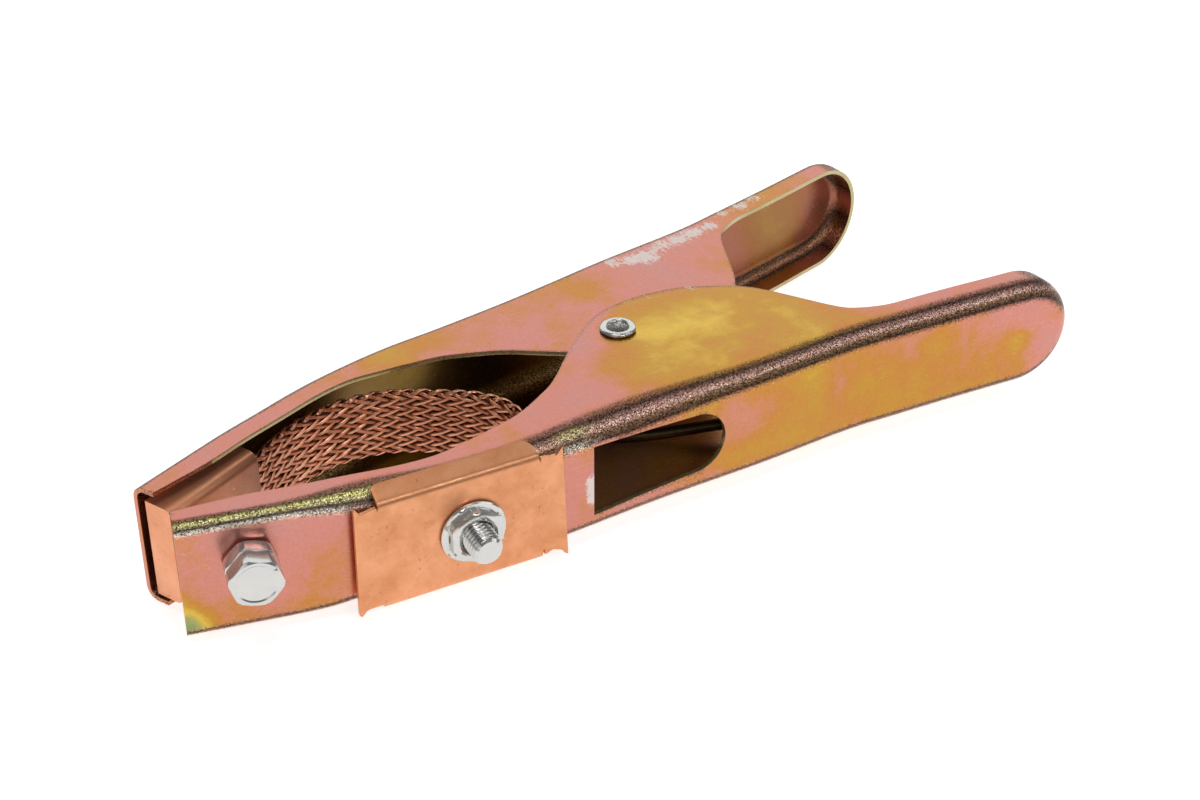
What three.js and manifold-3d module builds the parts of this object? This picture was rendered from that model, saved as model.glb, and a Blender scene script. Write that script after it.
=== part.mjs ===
// Spring ground clamp: two drawn steel arms lapped on a tubular rivet, a torsion spring that closes
// them, and copper jaw contacts joined by a flat copper braid. A copper saddle with a stud and a
// flange nut takes the cable lug. Millimetres, +Z up along the pivot axis, jaws towards -X.

import * as THREE from 'three';
import { mergeVertices } from 'three/addons/utils/BufferGeometryUtils.js';
import Module from 'manifold-3d';

const wasm = await Module();
wasm.setup();

// Driving dimensions of the arms
const sheet = 1.2; // steel sheet of both arms
const armHeight = 31.5; // over the two flanges of one arm
const lapGap = 0.3; // between the lapped flanges of the two arms
const noseLength = 131.6; // pivot axis to the jaw end of the web
const handleLength = 118.4; // pivot axis to the end of a handle
const webReach = 34.8; // pivot axis to the outside of the web
const noseBend = 3.6; // outside radius of the bend at the nose
const handleBend = 5.8; // outside radius of the front arm's upper bend from the shoulder to the handle
const lowerBend = 4.4; // and of its lower bend there
const noseCutAngle = THREE.MathUtils.degToRad(22); // the jaw end is cut off across the arm at this angle
const slotHeight = 20.2; // cable slot at its square end
const slotRound = 8.6; // radius of its round end
const slotLow = 0.4; // how far the slot lies below the middle of the web
const frontNoseDrop = 1.4; // the front arm's lower flange runs this much lower at the nose
const rearNoseRise = 1.5; // and the rear arm's upper flange this much higher

// Driving dimensions of the pivot and its spring
const rivetRadius = 3.8;
const rivetBore = 2.9;
const rivetHead = 4.75;
const rivetHeadHeight = 0.9;
const springWire = 3.2;
const springRadius = 7.7; // to the middle of the wire
const springClear = 0.3; // between the spring and the flanges or webs that it touches
const springTurns = 6;
const springLegAngle = THREE.MathUtils.degToRad(30); // a leg leaves the coil at this angle to the handles
const springLegRise = 4.2; // a leg's end lies this much nearer the middle of the web
const springLegShares = [1, 0.85, 0.5, 0.15]; // stations along a leg, from its end to the coil

// Driving dimensions of the copper pieces
const saddleSheet = 1.0;
const saddleLength = 54;
const saddleTabLength = 41.4; // length of the folded tabs between the corner notches
const saddleTab = 5.1; // width of the upper tab, bent over the arm's upper bend
const saddleTabAngle = THREE.MathUtils.degToRad(62); // that it is bent by
const saddleFold = 6.5; // width of the lower fold under the arm
const saddleFoldRadius = 3.8;
const saddleSlope = THREE.MathUtils.degToRad(9); // seen from above, to the clamp's long axis
const saddleTilt = THREE.MathUtils.degToRad(1.1); // its end next to the pivot sits higher
const saddleFoot = 1.9; // how far the lower corners end above the underside of the fold
const saddleNotch = 1; // gap between a lower corner and the fold
const contactSheet = 1.0;
const contactLength = 29;
const contactSideGap = 0.95; // between the contact's long edges and the insides of the flanges
const contactBackGap = 1.04; // between its back edge and the inside of the web, at the nose
const contactRound = 2.6; // radius of the contact's long edges
const crownLength = 4; // the face is crowned this far from the nose
const crownStep = 1; // its middle facet is this long
const crownAngle = THREE.MathUtils.degToRad(10);
const crownEndAngle = THREE.MathUtils.degToRad(55);
const cupChamfer = 2; // inside corner behind the crown
const padThickness = 2.2;
const padHeight = 20;
const braidWidth = 19.5;
const braidThickness = 3;
const braidRise = 0.8; // the loop rides this much above the middle of the jaws

// Driving dimensions of the fasteners
const threadRadius = 4;
const jawFlats = 12.2; // across the flats of the jaw bolts and their nuts
const studFlats = 13; // and of the cable stud and its flange nut
const jawHexTurn = THREE.MathUtils.degToRad(17.4); // a jaw bolt's corner stands this far off upright
const headThickness = 4.2;
const studHeadThickness = 4;
const lockNutThickness = 4.7;
const flangeNutHeight = 3.4;
const flangeNutRadius = 8.4;
const flangeNutRim = 1.4;
const studEnd = 11.2; // end of the cable stud, out from the web
const threadChamfer = 0.8;

// Clearances
const fit = 0.3; // between a piece and what it is cut by or rests on
const overrun = 4; // a cutter runs past what it cuts by this much

// Places on the arm, as shares of its nose length and handle length
const jawBoltShare = 0.882;
const jawBoltHeightShare = 0.595; // up the arm's height
const innerNutShare = 0.67; // of the jaw bolt's length inside the arm
const studShare = 0.497;
const studHeightShare = 0.468;
const slotStartShare = 0.238; // of the nose length, on the jaw side of the pivot
const slotEndShare = 0.064; // of the handle length, on the handle side
const saddleMiddleShare = 0.5132;
const contactTipShare = 0.9666;
const shoulderShares = [0.83, 0.68]; // where the bend grows from the nose radius to the handle radius
const frontDropShares = [0.76, 0.66]; // where the front arm's lower flange comes back from its drop
const rearRiseShares = [0.8, 0.19]; // and the rear arm's upper flange from its rise
const faceHalfGap = 0.9; // from the start of the flat face to the plane between the closed jaws
const contactAngle = THREE.MathUtils.degToRad(20); // contact face to the clamp's long axis

// Resolution of curved shapes
const noseStations = 14;
const lobeStations = 28;
const gripStations = 8;
const handleEndSteps = 11;
const bendSteps = 4;
const roundSides = 24;
const hexSides = 6;
const curveSamples = 12;

// Outlines seen from above: [share along the arm, share of the web reach across it]. Along the arm
// a share is of the nose length where it is negative and of the handle length where it is positive.
const webLineShares = [
  [-1.05, 0.239], [-1, 0.302], [-0.752, 0.612], [-0.582, 0.802], [-0.415, 0.914], [-0.274, 0.943],
  [-0.109, 0.974], [0.012, 1.011], [0.173, 1.06], [0.404, 1.103], [0.529, 1.161], [0.689, 1.244],
  [0.849, 1.336], [1, 1.42],
];
const freeEdgeShares = [
  [-1.05, 0.07], [-0.988, 0.124], [-0.862, 0.233], [-0.766, 0.352], [-0.686, 0.44], [-0.587, 0.552],
  [-0.515, 0.596], [-0.451, 0.577], [-0.391, 0.549], [-0.325, 0.505], [-0.257, 0.397], [-0.21, 0.299],
  [-0.141, 0.086], [-0.103, -0.029], [-0.055, -0.158], [-0.011, -0.25], [0.04, -0.3], [0.121, -0.303],
  [0.207, -0.24], [0.251, -0.167], [0.327, 0.011], [0.364, 0.152], [0.398, 0.36], [0.453, 0.701],
  [0.49, 0.815], [0.549, 0.902], [0.622, 0.943], [0.732, 1.006], [0.843, 1.075], [1, 1.16],
];
const lobeStartShare = -0.515;
const lobeEndShare = 0.549;

// The braid's loop from the rear contact round to the front one, in the same shares
const braidShares = [
  [-0.714, -0.448], [-0.642, -0.563], [-0.547, -0.626], [-0.456, -0.552], [-0.38, -0.371],
  [-0.308, -0.132], [-0.277, 0.103], [-0.284, 0.316], [-0.325, 0.494], [-0.395, 0.592],
  [-0.49, 0.609], [-0.585, 0.555], [-0.676, 0.448],
];

// Materials
function steel(color, roughness) {
  return new THREE.MeshStandardMaterial({ color, roughness, metalness: 0.9 });
}

const passivatedSteel = steel(0xc99a5b, 0.38);
const brightZinc = steel(0xc9ccd0, 0.28);
const springSteel = steel(0x55524c, 0.45);
const copper = steel(0xc97d55, 0.4);
const braidCopper = steel(0xa8603f, 0.5);

// A place is a group that carries a position and a turn; without one a shape stays where it is made
const home = new THREE.Group();

function placeAt(x, y, z, turn = 0, tilt = 0) {
  const place = new THREE.Group();
  place.position.set(x, y, z);
  place.rotation.set(0, tilt, turn, 'ZYX');
  place.updateMatrix();
  return place;
}

// Closed solids for cutting and joining
function solidFrom(geometry, place = home) {
  const bare = geometry.clone().applyMatrix4(place.matrix);
  bare.deleteAttribute('normal');
  bare.deleteAttribute('uv');
  const merged = mergeVertices(bare);
  const vertProperties = new Float32Array(merged.attributes.position.array);
  const triVerts = new Uint32Array(merged.index.array);
  return new wasm.Manifold(new wasm.Mesh({ numProp: 3, vertProperties, triVerts }));
}

function geometryFrom(solid) {
  const mesh = solid.getMesh();
  const geometry = new THREE.BufferGeometry();
  geometry.setAttribute('position', new THREE.BufferAttribute(new Float32Array(mesh.vertProperties), 3));
  geometry.setIndex(new THREE.BufferAttribute(new Uint32Array(mesh.triVerts), 1));
  geometry.computeVertexNormals();
  return geometry;
}

function piece(name, solid, material, place = home) {
  const mesh = new THREE.Mesh(geometryFrom(solid), material);
  mesh.name = name;
  mesh.position.copy(place.position);
  mesh.rotation.copy(place.rotation);
  return mesh;
}

// A round or six-sided bar along +Y, from one place on the Y axis to another
function bar(radius, from, to, { sides = roundSides, endRadius = radius, turn = 0, place = home } = {}) {
  const geometry = new THREE.CylinderGeometry(endRadius, radius, to - from, sides);
  geometry.rotateY(turn);
  geometry.translate(0, (from + to) / 2, 0);
  return solidFrom(geometry, place);
}

function block(from, to, place = home) {
  const size = new THREE.Vector3().subVectors(to, from);
  const geometry = new THREE.BoxGeometry(size.x, size.y, size.z);
  geometry.translate((from.x + to.x) / 2, (from.y + to.y) / 2, (from.z + to.z) / 2);
  return solidFrom(geometry, place);
}

// A section drawn across a piece, local Y to the right and local Z up, run along local +X
function alongX(outline, from, to, curveSegments = bendSteps) {
  const geometry = new THREE.ExtrudeGeometry(outline, { depth: to - from, bevelEnabled: false, curveSegments });
  geometry.rotateY(Math.PI / 2);
  geometry.rotateX(Math.PI / 2);
  geometry.translate(from, 0, 0);
  return geometry;
}

// A closed solid through rings of the same number of points; the end rings are closed straight across
function loft(rings) {
  const count = rings[0].length;
  const positions = rings.flat().flatMap((point) => [point.x, point.y, point.z]);
  const triangles = [];
  for (let ring = 0; ring + 1 < rings.length; ring += 1) {
    for (let i = 0; i < count; i += 1) {
      const next = (i + 1) % count;
      const low = ring * count;
      const high = low + count;
      triangles.push(low + i, low + next, high + next, low + i, high + next, high + i);
    }
  }
  const last = (rings.length - 1) * count;
  for (let i = 0; i + 1 < count - 1 - i; i += 1) {
    const across = count - 1 - i;
    const after = across - 1;
    triangles.push(i, across, i + 1, last + i, last + i + 1, last + across);
    if (after > i + 1) triangles.push(i + 1, across, after, last + i + 1, last + after, last + across);
  }
  return solidFromTriangles(positions, triangles);
}

function solidFromTriangles(positions, triangles) {
  const corner = (index) => new THREE.Vector3().fromArray(positions, index * 3);
  let volume = 0;
  for (let i = 0; i < triangles.length; i += 3) {
    volume += corner(triangles[i]).dot(corner(triangles[i + 1]).cross(corner(triangles[i + 2])));
  }
  const outward = volume > 0 ? triangles : triangles.slice().reverse();
  const vertProperties = new Float32Array(positions);
  const triVerts = new Uint32Array(outward);
  return new wasm.Manifold(new wasm.Mesh({ numProp: 3, vertProperties, triVerts }));
}

// Lines seen from above, read as the place across the clamp at a place along it
function alongArm(share) {
  return share * (share < 0 ? noseLength : handleLength);
}

function planCurve(shares) {
  const corners = shares.map(([along, across]) => new THREE.Vector2(alongArm(along), -across * webReach));
  return new THREE.SplineCurve(corners).getPoints(shares.length * curveSamples);
}

function acrossAt(points, x) {
  const after = Math.min(Math.max(points.findIndex((point) => point.x > x), 1), points.length - 1);
  const a = points[after - 1];
  const b = points[after];
  return a.y + ((b.y - a.y) * (x - a.x)) / (b.x - a.x);
}

const webLine = planCurve(webLineShares);
const freeEdge = planCurve(freeEdgeShares);

// The way round the handle's end is 0 at the upper flange and 1 at the lower one
function bendRadius(x, way) {
  const [start, end] = shoulderShares.map((share) => -share * noseLength);
  const atHandle = THREE.MathUtils.lerp(handleBend, lowerBend, way);
  return THREE.MathUtils.lerp(noseBend, atHandle, THREE.MathUtils.smoothstep(x, start, end));
}

// Both arms are made as the front one, so the rear arm's rise is a drop until the arm is turned over
const frontNose = { drop: frontNoseDrop, shares: frontDropShares };
const rearNose = { drop: rearNoseRise, shares: rearRiseShares };

function dropAt(x, nose) {
  const [start, end] = nose.shares.map((share) => -share * noseLength);
  return nose.drop * (1 - THREE.MathUtils.smoothstep(x, start, end));
}

// A place on the outside of the web: local +X along the web to the handle, local +Y into the clamp
function webPlace(x, z) {
  const slope = (acrossAt(webLine, x + sheet) - acrossAt(webLine, x - sheet)) / (sheet + sheet);
  return placeAt(x, acrossAt(webLine, x), z, Math.atan(slope));
}

// Arm: a drawn channel, open towards the other arm and at the jaw end, closed round the handle's end
function stations() {
  const along = [];
  const spans = [
    [alongArm(webLineShares[0][0]) + sheet, alongArm(lobeStartShare), noseStations],
    [alongArm(lobeStartShare), alongArm(lobeEndShare), lobeStations],
    [alongArm(lobeEndShare), handleLength - armHeight / 2, gripStations],
  ];
  for (const [from, to, count] of spans) {
    for (let i = 0; i < count; i += 1) along.push(from + ((to - from) * i) / count);
  }
  along.push(handleLength - armHeight / 2);
  return along;
}

function armRing(wall, angle, atFreeEdge, nose) {
  const inset = (x, way) => wall + (bendRadius(x, way) - wall) * (1 - Math.sin(angle));
  const across = (x, way) => {
    const bendDepth = wall + (bendRadius(x, way) - wall) * (1 - Math.cos(angle));
    return atFreeEdge ? acrossAt(freeEdge, x) : acrossAt(webLine, x) + bendDepth;
  };
  const along = stations();
  along[0] += wall;
  const upper = along.map((x) => new THREE.Vector3(x, across(x, 0), armHeight - inset(x, 0)));
  const middle = armHeight / 2;
  const centre = handleLength - middle;
  const round = [];
  for (let i = 1; i < handleEndSteps; i += 1) {
    const way = i / handleEndSteps;
    const turn = Math.PI * (1 / 2 - way);
    const radius = middle - inset(centre, way);
    const x = centre + radius * Math.cos(turn);
    round.push(new THREE.Vector3(x, across(x, way), middle + radius * Math.sin(turn)));
  }
  const lower = along.map((x) => new THREE.Vector3(x, across(x, 1), inset(x, 1) - dropAt(x, nose)));
  return [...upper, ...round, ...lower.reverse()];
}

function armShell(nose) {
  const angles = Array.from({ length: bendSteps + 1 }, (_, i) => (i * Math.PI) / 2 / bendSteps);
  const outside = angles.map((angle) => armRing(0, angle, false, nose));
  const inside = angles.map((angle) => armRing(sheet, angle, false, nose)).reverse();
  const rim = [0, sheet].map((wall) => armRing(wall, Math.PI / 2, true, nose));
  return loft([...outside, ...rim, ...inside]);
}

function slotCutter() {
  const start = -slotStartShare * noseLength;
  const end = slotEndShare * handleLength;
  const middle = armHeight / 2 - slotLow;
  const outline = new THREE.Shape();
  outline.moveTo(start, middle - slotHeight / 2);
  outline.lineTo(end - slotRound, middle - slotRound);
  outline.absarc(end - slotRound, middle, slotRound, -Math.PI / 2, Math.PI / 2, false);
  outline.lineTo(start, middle + slotHeight / 2);
  const depth = overrun + webReach / 2;
  const settings = { depth, bevelEnabled: false, curveSegments: roundSides / 2 };
  const geometry = new THREE.ExtrudeGeometry(outline, settings);
  geometry.rotateX(Math.PI / 2);
  geometry.translate(0, depth - webReach - overrun, 0);
  return solidFrom(geometry);
}

function noseCutter() {
  const far = new THREE.Vector3(-webReach, -webReach, -overrun);
  const near = new THREE.Vector3(0, webReach, armHeight + overrun);
  return block(far, near, placeAt(-noseLength, acrossAt(webLine, -noseLength), 0, -noseCutAngle));
}

function rivetHole() {
  const geometry = new THREE.CylinderGeometry(rivetRadius + fit, rivetRadius + fit, armHeight * 2, roundSides);
  geometry.rotateX(Math.PI / 2);
  return solidFrom(geometry);
}

const jawBoltPlace = webPlace(-jawBoltShare * noseLength, jawBoltHeightShare * armHeight);

// The saddle is flat, so it touches the curved web along one line and stands off at its ends
const saddleX = -saddleMiddleShare * noseLength;
const saddlePlace = placeAt(saddleX, acrossAt(webLine, saddleX), 0, -saddleSlope, -saddleTilt);

// The stud stands square to the saddle, not to the web, which curves behind it
const studX = -studShare * noseLength;
const studY = saddlePlace.position.y - (studX - saddleX) * Math.tan(saddleSlope);
const studPlace = placeAt(studX, studY, studHeightShare * armHeight, -saddleSlope);

function boltHole(place) {
  return bar(threadRadius + fit, -overrun, handleBend + overrun, { place });
}

// Only the front arm takes the cable, so only it has the slot and the stud's hole
function armSolid(takesCable) {
  const arm = armShell(takesCable ? frontNose : rearNose)
    .subtract(noseCutter())
    .subtract(rivetHole())
    .subtract(boltHole(jawBoltPlace));
  return takesCable ? arm.subtract(slotCutter()).subtract(boltHole(studPlace)) : arm;
}

// Fasteners, along the local Y axis with Y = 0 on the outside of the web
function hexagon(from, to, flats, turn = 0) {
  return bar(flats / 2 / Math.cos(Math.PI / hexSides), from, to, { sides: hexSides, turn });
}

function jawNut(from, thickness) {
  const bore = bar(threadRadius + fit, from - overrun, from + thickness + overrun);
  return hexagon(from, from + thickness, jawFlats, -jawHexTurn).subtract(bore);
}

const lockNutStart = -fit - lockNutThickness;
const jawBoltHeadStart = lockNutStart - fit - headThickness;

// The contact's place: its face leans to the other jaw and would meet its plane just before the nose
const contactTip = crownLength * Math.sin(contactAngle) - faceHalfGap;
const contactPlace = placeAt(-contactTipShare * noseLength, contactTip, 0, -contactAngle);
const contactHeight = armHeight - 2 * (sheet + contactSideGap);

// The cup's depth is what is left between its face and the web where they are nearest
function contactRoom() {
  const rooms = Array.from({ length: noseStations + 1 }, (_, i) => {
    const onFace = new THREE.Vector3((contactLength * i) / noseStations, 0, 0);
    onFace.applyMatrix4(contactPlace.matrix);
    return (onFace.y - acrossAt(webLine, onFace.x)) * Math.cos(contactAngle);
  });
  return Math.min(...rooms);
}

const contactDepth = contactRoom() - sheet - contactBackGap;
console.log('depth of a contact, mm:', contactDepth.toFixed(3));

// How far in from the web the bolt can go before it meets the braid's end pad
function padDistance() {
  const padBack = -contactSheet - fit - padThickness;
  const onContact = jawBoltPlace.position.clone().setZ(0).applyMatrix4(contactPlace.matrix.clone().invert());
  const leaning = contactPlace.rotation.z - jawBoltPlace.rotation.z;
  const straight = (padBack - onContact.y) / Math.cos(leaning);
  return straight - threadRadius * Math.abs(Math.sin(leaning)) - fit;
}

function jawBolt() {
  const tip = padDistance();
  const chamferStart = tip - threadChamfer;
  const shank = bar(threadRadius, jawBoltHeadStart + headThickness / 2, chamferStart);
  const point = bar(threadRadius, chamferStart, tip, { endRadius: threadRadius - threadChamfer });
  const head = hexagon(jawBoltHeadStart, jawBoltHeadStart + headThickness, jawFlats, -jawHexTurn);
  return head.add(shank).add(point);
}

function cableStud() {
  const inside = sheet + fit + fit;
  const chamferStart = threadChamfer - studEnd;
  const shank = bar(threadRadius, chamferStart, inside + studHeadThickness / 2);
  const point = bar(threadRadius - threadChamfer, -studEnd, chamferStart, { endRadius: threadRadius });
  return hexagon(inside, inside + studHeadThickness, studFlats).add(shank).add(point);
}

function flangeNut() {
  const seat = -fit - saddleSheet - fit;
  const top = seat - flangeNutHeight;
  const rim = bar(flangeNutRadius - threadChamfer, seat - flangeNutRim, seat, { endRadius: flangeNutRadius });
  const body = rim.add(hexagon(top, seat - flangeNutRim / 2, studFlats));
  return body.subtract(bar(threadRadius + fit, top - overrun, overrun));
}

// Saddle: copper sheet bent round the front arm, in a frame on the outside of the web
function saddleSection() {
  const inner = -fit;
  const along = new THREE.Vector2(Math.sin(saddleTabAngle), Math.cos(saddleTabAngle));
  const foldRise = Math.tan(saddleTabAngle / 2);
  const upperFold = armHeight - handleBend + (handleBend + fit + saddleSheet) * foldRise;
  const innerFold = upperFold - saddleSheet * foldRise;
  const tabEnd = new THREE.Vector2(inner, innerFold).addScaledVector(along, saddleTab);
  const bottom = -fit - (saddleTabLength / 2) * Math.sin(saddleTilt);
  const steps = bendSteps;
  const outline = new THREE.Shape();
  const corner = new THREE.Vector2(inner + saddleFoldRadius - saddleSheet, bottom + saddleFoldRadius - saddleSheet);
  outline.moveTo(inner + saddleFold, bottom);
  for (let i = 0; i <= steps; i += 1) {
    const turn = Math.PI * 1.5 - (Math.PI / 2) * (i / steps);
    const radius = saddleFoldRadius - saddleSheet;
    outline.lineTo(corner.x + radius * Math.cos(turn), corner.y + radius * Math.sin(turn));
  }
  outline.lineTo(inner, innerFold);
  outline.lineTo(tabEnd.x, tabEnd.y);
  outline.lineTo(tabEnd.x - saddleSheet * along.y, tabEnd.y + saddleSheet * along.x);
  outline.lineTo(inner - saddleSheet, upperFold);
  for (let i = 0; i <= steps; i += 1) {
    const turn = Math.PI + (Math.PI / 2) * (i / steps);
    outline.lineTo(corner.x + saddleFoldRadius * Math.cos(turn), corner.y + saddleFoldRadius * Math.sin(turn));
  }
  outline.lineTo(inner + saddleFold, bottom - saddleSheet);
  return { outline, upperFold, bottom };
}

function saddle() {
  const { outline, upperFold, bottom } = saddleSection();
  let plate = solidFrom(alongX(outline, -saddleLength / 2, saddleLength / 2));
  const face = -fit;
  for (const side of [-1, 1]) {
    const tabEnd = (side * saddleTabLength) / 2;
    const far = side * (saddleLength / 2 + overrun);
    const x0 = Math.min(tabEnd, far);
    const x1 = Math.max(tabEnd, far);
    const upper = [upperFold - saddleSheet, armHeight + overrun];
    const lower = [bottom - saddleSheet - overrun, bottom + saddleFoldRadius];
    for (const [z0, z1] of [upper, lower]) {
      const depth = saddleFold + overrun;
      plate = plate.subtract(block(new THREE.Vector3(x0, -depth, z0), new THREE.Vector3(x1, depth, z1)));
    }
    // the lower corners hang straight down beside the fold
    const footBottom = bottom - saddleSheet + saddleFoot;
    const footInner = tabEnd + side * saddleNotch;
    const footOuter = (side * saddleLength) / 2;
    const low = new THREE.Vector3(Math.min(footInner, footOuter), face - saddleSheet, footBottom);
    const high = new THREE.Vector3(Math.max(footInner, footOuter), face, bottom + saddleFoldRadius * 2);
    plate = plate.add(block(low, high));
  }
  const onSaddle = new THREE.Group();
  onSaddle.matrix.copy(saddlePlace.matrix).invert().multiply(studPlace.matrix);
  return plate.subtract(bar(threadRadius + fit, -overrun, overrun, { place: onSaddle }));
}

// Contact: a copper cup with its face to the other jaw, folded in above, below and at the nose, and
// open to the web and to the pivot. Local +X runs along the face and local +Y to the other jaw.
function cupSection(reach, wall) {
  const half = contactHeight / 2 - wall;
  const radius = contactRound - wall;
  const outline = new THREE.Shape();
  outline.moveTo(-reach, -half);
  outline.lineTo(-wall - radius, -half);
  outline.absarc(-wall - radius, radius - half, radius, -Math.PI / 2, 0, false);
  outline.absarc(-wall - radius, half - radius, radius, 0, Math.PI / 2, false);
  outline.lineTo(-reach, half);
  return outline;
}

function cupBody(wall, from, to, reach) {
  const geometry = alongX(cupSection(reach, wall), from, to);
  geometry.translate(0, 0, armHeight / 2);
  return solidFrom(geometry);
}

// What lies beyond a plane that leans to the nose from one place on the face's section
function beyond(x, y, lean) {
  const far = new THREE.Vector3(-webReach, 0, -overrun);
  const near = new THREE.Vector3(webReach, webReach, armHeight + overrun);
  return block(far, near, placeAt(x, y, 0, lean));
}

function contactCup() {
  const outside = cupBody(0, 0, contactLength, contactDepth);
  const cavity = cupBody(contactSheet, contactSheet, contactLength + overrun, contactDepth + overrun);
  // three facets crown the face's nose end, and the jaws meet on the middle one
  const firstLength = crownLength - crownStep;
  const stepDepth = firstLength * Math.tan(crownAngle);
  const endDepth = stepDepth + crownStep * Math.tan(contactAngle);
  const endPlace = crownLength - firstLength - crownStep;
  return outside
    .subtract(beyond(crownLength, 0, crownAngle))
    .subtract(beyond(crownStep, -stepDepth, contactAngle))
    .subtract(beyond(endPlace, -endDepth, crownEndAngle))
    .subtract(cavity.subtract(beyond(contactSheet + cupChamfer, -contactSheet, Math.PI / 4)));
}

const padStart = contactSheet + cupChamfer + fit + fit;

function braidPad() {
  const face = -contactSheet - fit;
  const middle = armHeight / 2;
  const low = new THREE.Vector3(padStart, face - padThickness, middle - padHeight / 2);
  const high = new THREE.Vector3(contactLength, face, middle + padHeight / 2);
  return block(low, high);
}

// Braid: a flat strap held on edge, looping from one contact towards the pivot and back to the other
function braidRoute() {
  const lead = padThickness;
  const middle = -contactSheet - fit - padThickness / 2;
  const ends = [contactLength + fit, contactLength + fit + lead].map((x) => {
    const end = new THREE.Vector3(x, middle, 0).applyMatrix4(contactPlace.matrix);
    return new THREE.Vector2(end.x, end.y);
  });
  const rearEnds = ends.map((point) => new THREE.Vector2(point.x, -point.y));
  const loop = braidShares.map(([along, across]) => new THREE.Vector2(alongArm(along), -across * webReach));
  return new THREE.SplineCurve([...rearEnds, ...loop, ends[1], ends[0]]);
}

function braid() {
  const route = braidRoute();
  const steps = braidShares.length * bendSteps;
  const low = (armHeight - sheet - lapGap - braidWidth) / 2 + braidRise;
  const rings = Array.from({ length: steps + 1 }, (_, i) => {
    const point = route.getPoint(i / steps);
    const along = route.getTangent(i / steps);
    const side = new THREE.Vector2(-along.y, along.x).multiplyScalar(braidThickness / 2);
    const left = point.clone().add(side);
    const right = point.clone().sub(side);
    const high = low + braidWidth;
    return [[left, low], [left, high], [right, high], [right, low]]
      .map(([corner, z]) => new THREE.Vector3(corner.x, corner.y, z));
  });
  return loft(rings);
}

// Rivet: a tube with a rolled head outside each pair of flanges
function rivet() {
  const lap = sheet + lapGap;
  const low = -lap - fit;
  const high = armHeight + fit;
  const rolled = (rivetHead - rivetBore) / 4;
  const profile = [
    [rivetBore, low - rivetHeadHeight / 2], [rivetBore + rolled, low - rivetHeadHeight],
    [rivetHead - rolled, low - rivetHeadHeight], [rivetHead, low - rivetHeadHeight / 2],
    [rivetHead, low], [rivetRadius, low], [rivetRadius, high], [rivetHead, high],
    [rivetHead, high + rivetHeadHeight / 2], [rivetHead - rolled, high + rivetHeadHeight],
    [rivetBore + rolled, high + rivetHeadHeight], [rivetBore, high + rivetHeadHeight / 2],
  ];
  const corners = [...profile, profile[0]].map(([radius, z]) => new THREE.Vector2(radius, z));
  const geometry = new THREE.LatheGeometry(corners, roundSides);
  geometry.rotateX(Math.PI / 2);
  return solidFrom(geometry);
}

// Spring: one wire wound on the rivet, each end a straight leg to the inside of a handle
function springRoute() {
  const stepsPerTurn = 8;
  const wireRadius = springWire / 2;
  const lap = sheet + lapGap;
  const low = sheet + springClear + wireRadius;
  const high = armHeight - lap - sheet - springClear - wireRadius;
  const first = -Math.PI / 2 - springLegAngle;
  const sweep = 2 * (Math.PI / 2 + springLegAngle) - 2 * Math.PI * (springTurns + 1);
  const steps = Math.round((Math.abs(sweep) / 2 / Math.PI) * stepsPerTurn);
  const points = [];
  for (let i = 0; i <= steps; i += 1) {
    const angle = first + (sweep * i) / steps;
    const z = low + ((high - low) * i) / steps;
    points.push(new THREE.Vector3(springRadius * Math.cos(angle), springRadius * Math.sin(angle), z));
  }
  const leg = springLeg(points[0], low);
  const otherLeg = leg.map((point) => new THREE.Vector3(point.x, -point.y, high + low - point.z)).reverse();
  return [...leg, ...points, ...otherLeg];
}

// The straight leg ends beside the web, with its wire's surface a clearance away from the steel
function springLeg(root, low) {
  const reach = springWire / 2 + springClear + sheet;
  const direction = new THREE.Vector2(Math.cos(springLegAngle), -Math.sin(springLegAngle));
  const clearance = (length) => {
    const x = root.x + direction.x * length;
    const web = webPlace(x, 0);
    const gap = (root.y + direction.y * length - web.position.y) * Math.cos(web.rotation.z);
    return gap - reach;
  };
  let length = 0;
  while (clearance(length) > 0) length += springWire / 8;
  return springLegShares.map((share) => {
    const rise = springLegRise * THREE.MathUtils.smoothstep(share, 0, springLegShares[1]);
    const x = root.x + direction.x * length * share;
    return new THREE.Vector3(x, root.y + direction.y * length * share, low + rise);
  });
}

function wire(points, radius, sides) {
  const rings = points.map((point, i) => {
    const before = points[Math.max(i - 1, 0)];
    const after = points[Math.min(i + 1, points.length - 1)];
    const along = new THREE.Vector3().subVectors(after, before).normalize();
    const side = new THREE.Vector3(0, 0, 1).cross(along).normalize();
    const up = new THREE.Vector3().crossVectors(along, side);
    return Array.from({ length: sides }, (_, k) => {
      const turn = (2 * Math.PI * k) / sides;
      const offset = side.clone().multiplyScalar(radius * Math.cos(turn)).addScaledVector(up, radius * Math.sin(turn));
      return offset.add(point);
    });
  });
  return loft(rings);
}

function leastCoilGap(points, radius) {
  const apart = 6;
  let least = Infinity;
  for (let i = 0; i < points.length; i += 1) {
    for (let j = i + apart; j < points.length; j += 1) least = Math.min(least, points[i].distanceTo(points[j]));
  }
  return least - radius * 2;
}

function spring() {
  const wireSides = 5;
  const points = springRoute();
  console.log('least gap of the spring to itself, mm:', leastCoilGap(points, springWire / 2).toFixed(3));
  return wire(points, springWire / 2, wireSides);
}

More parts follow.
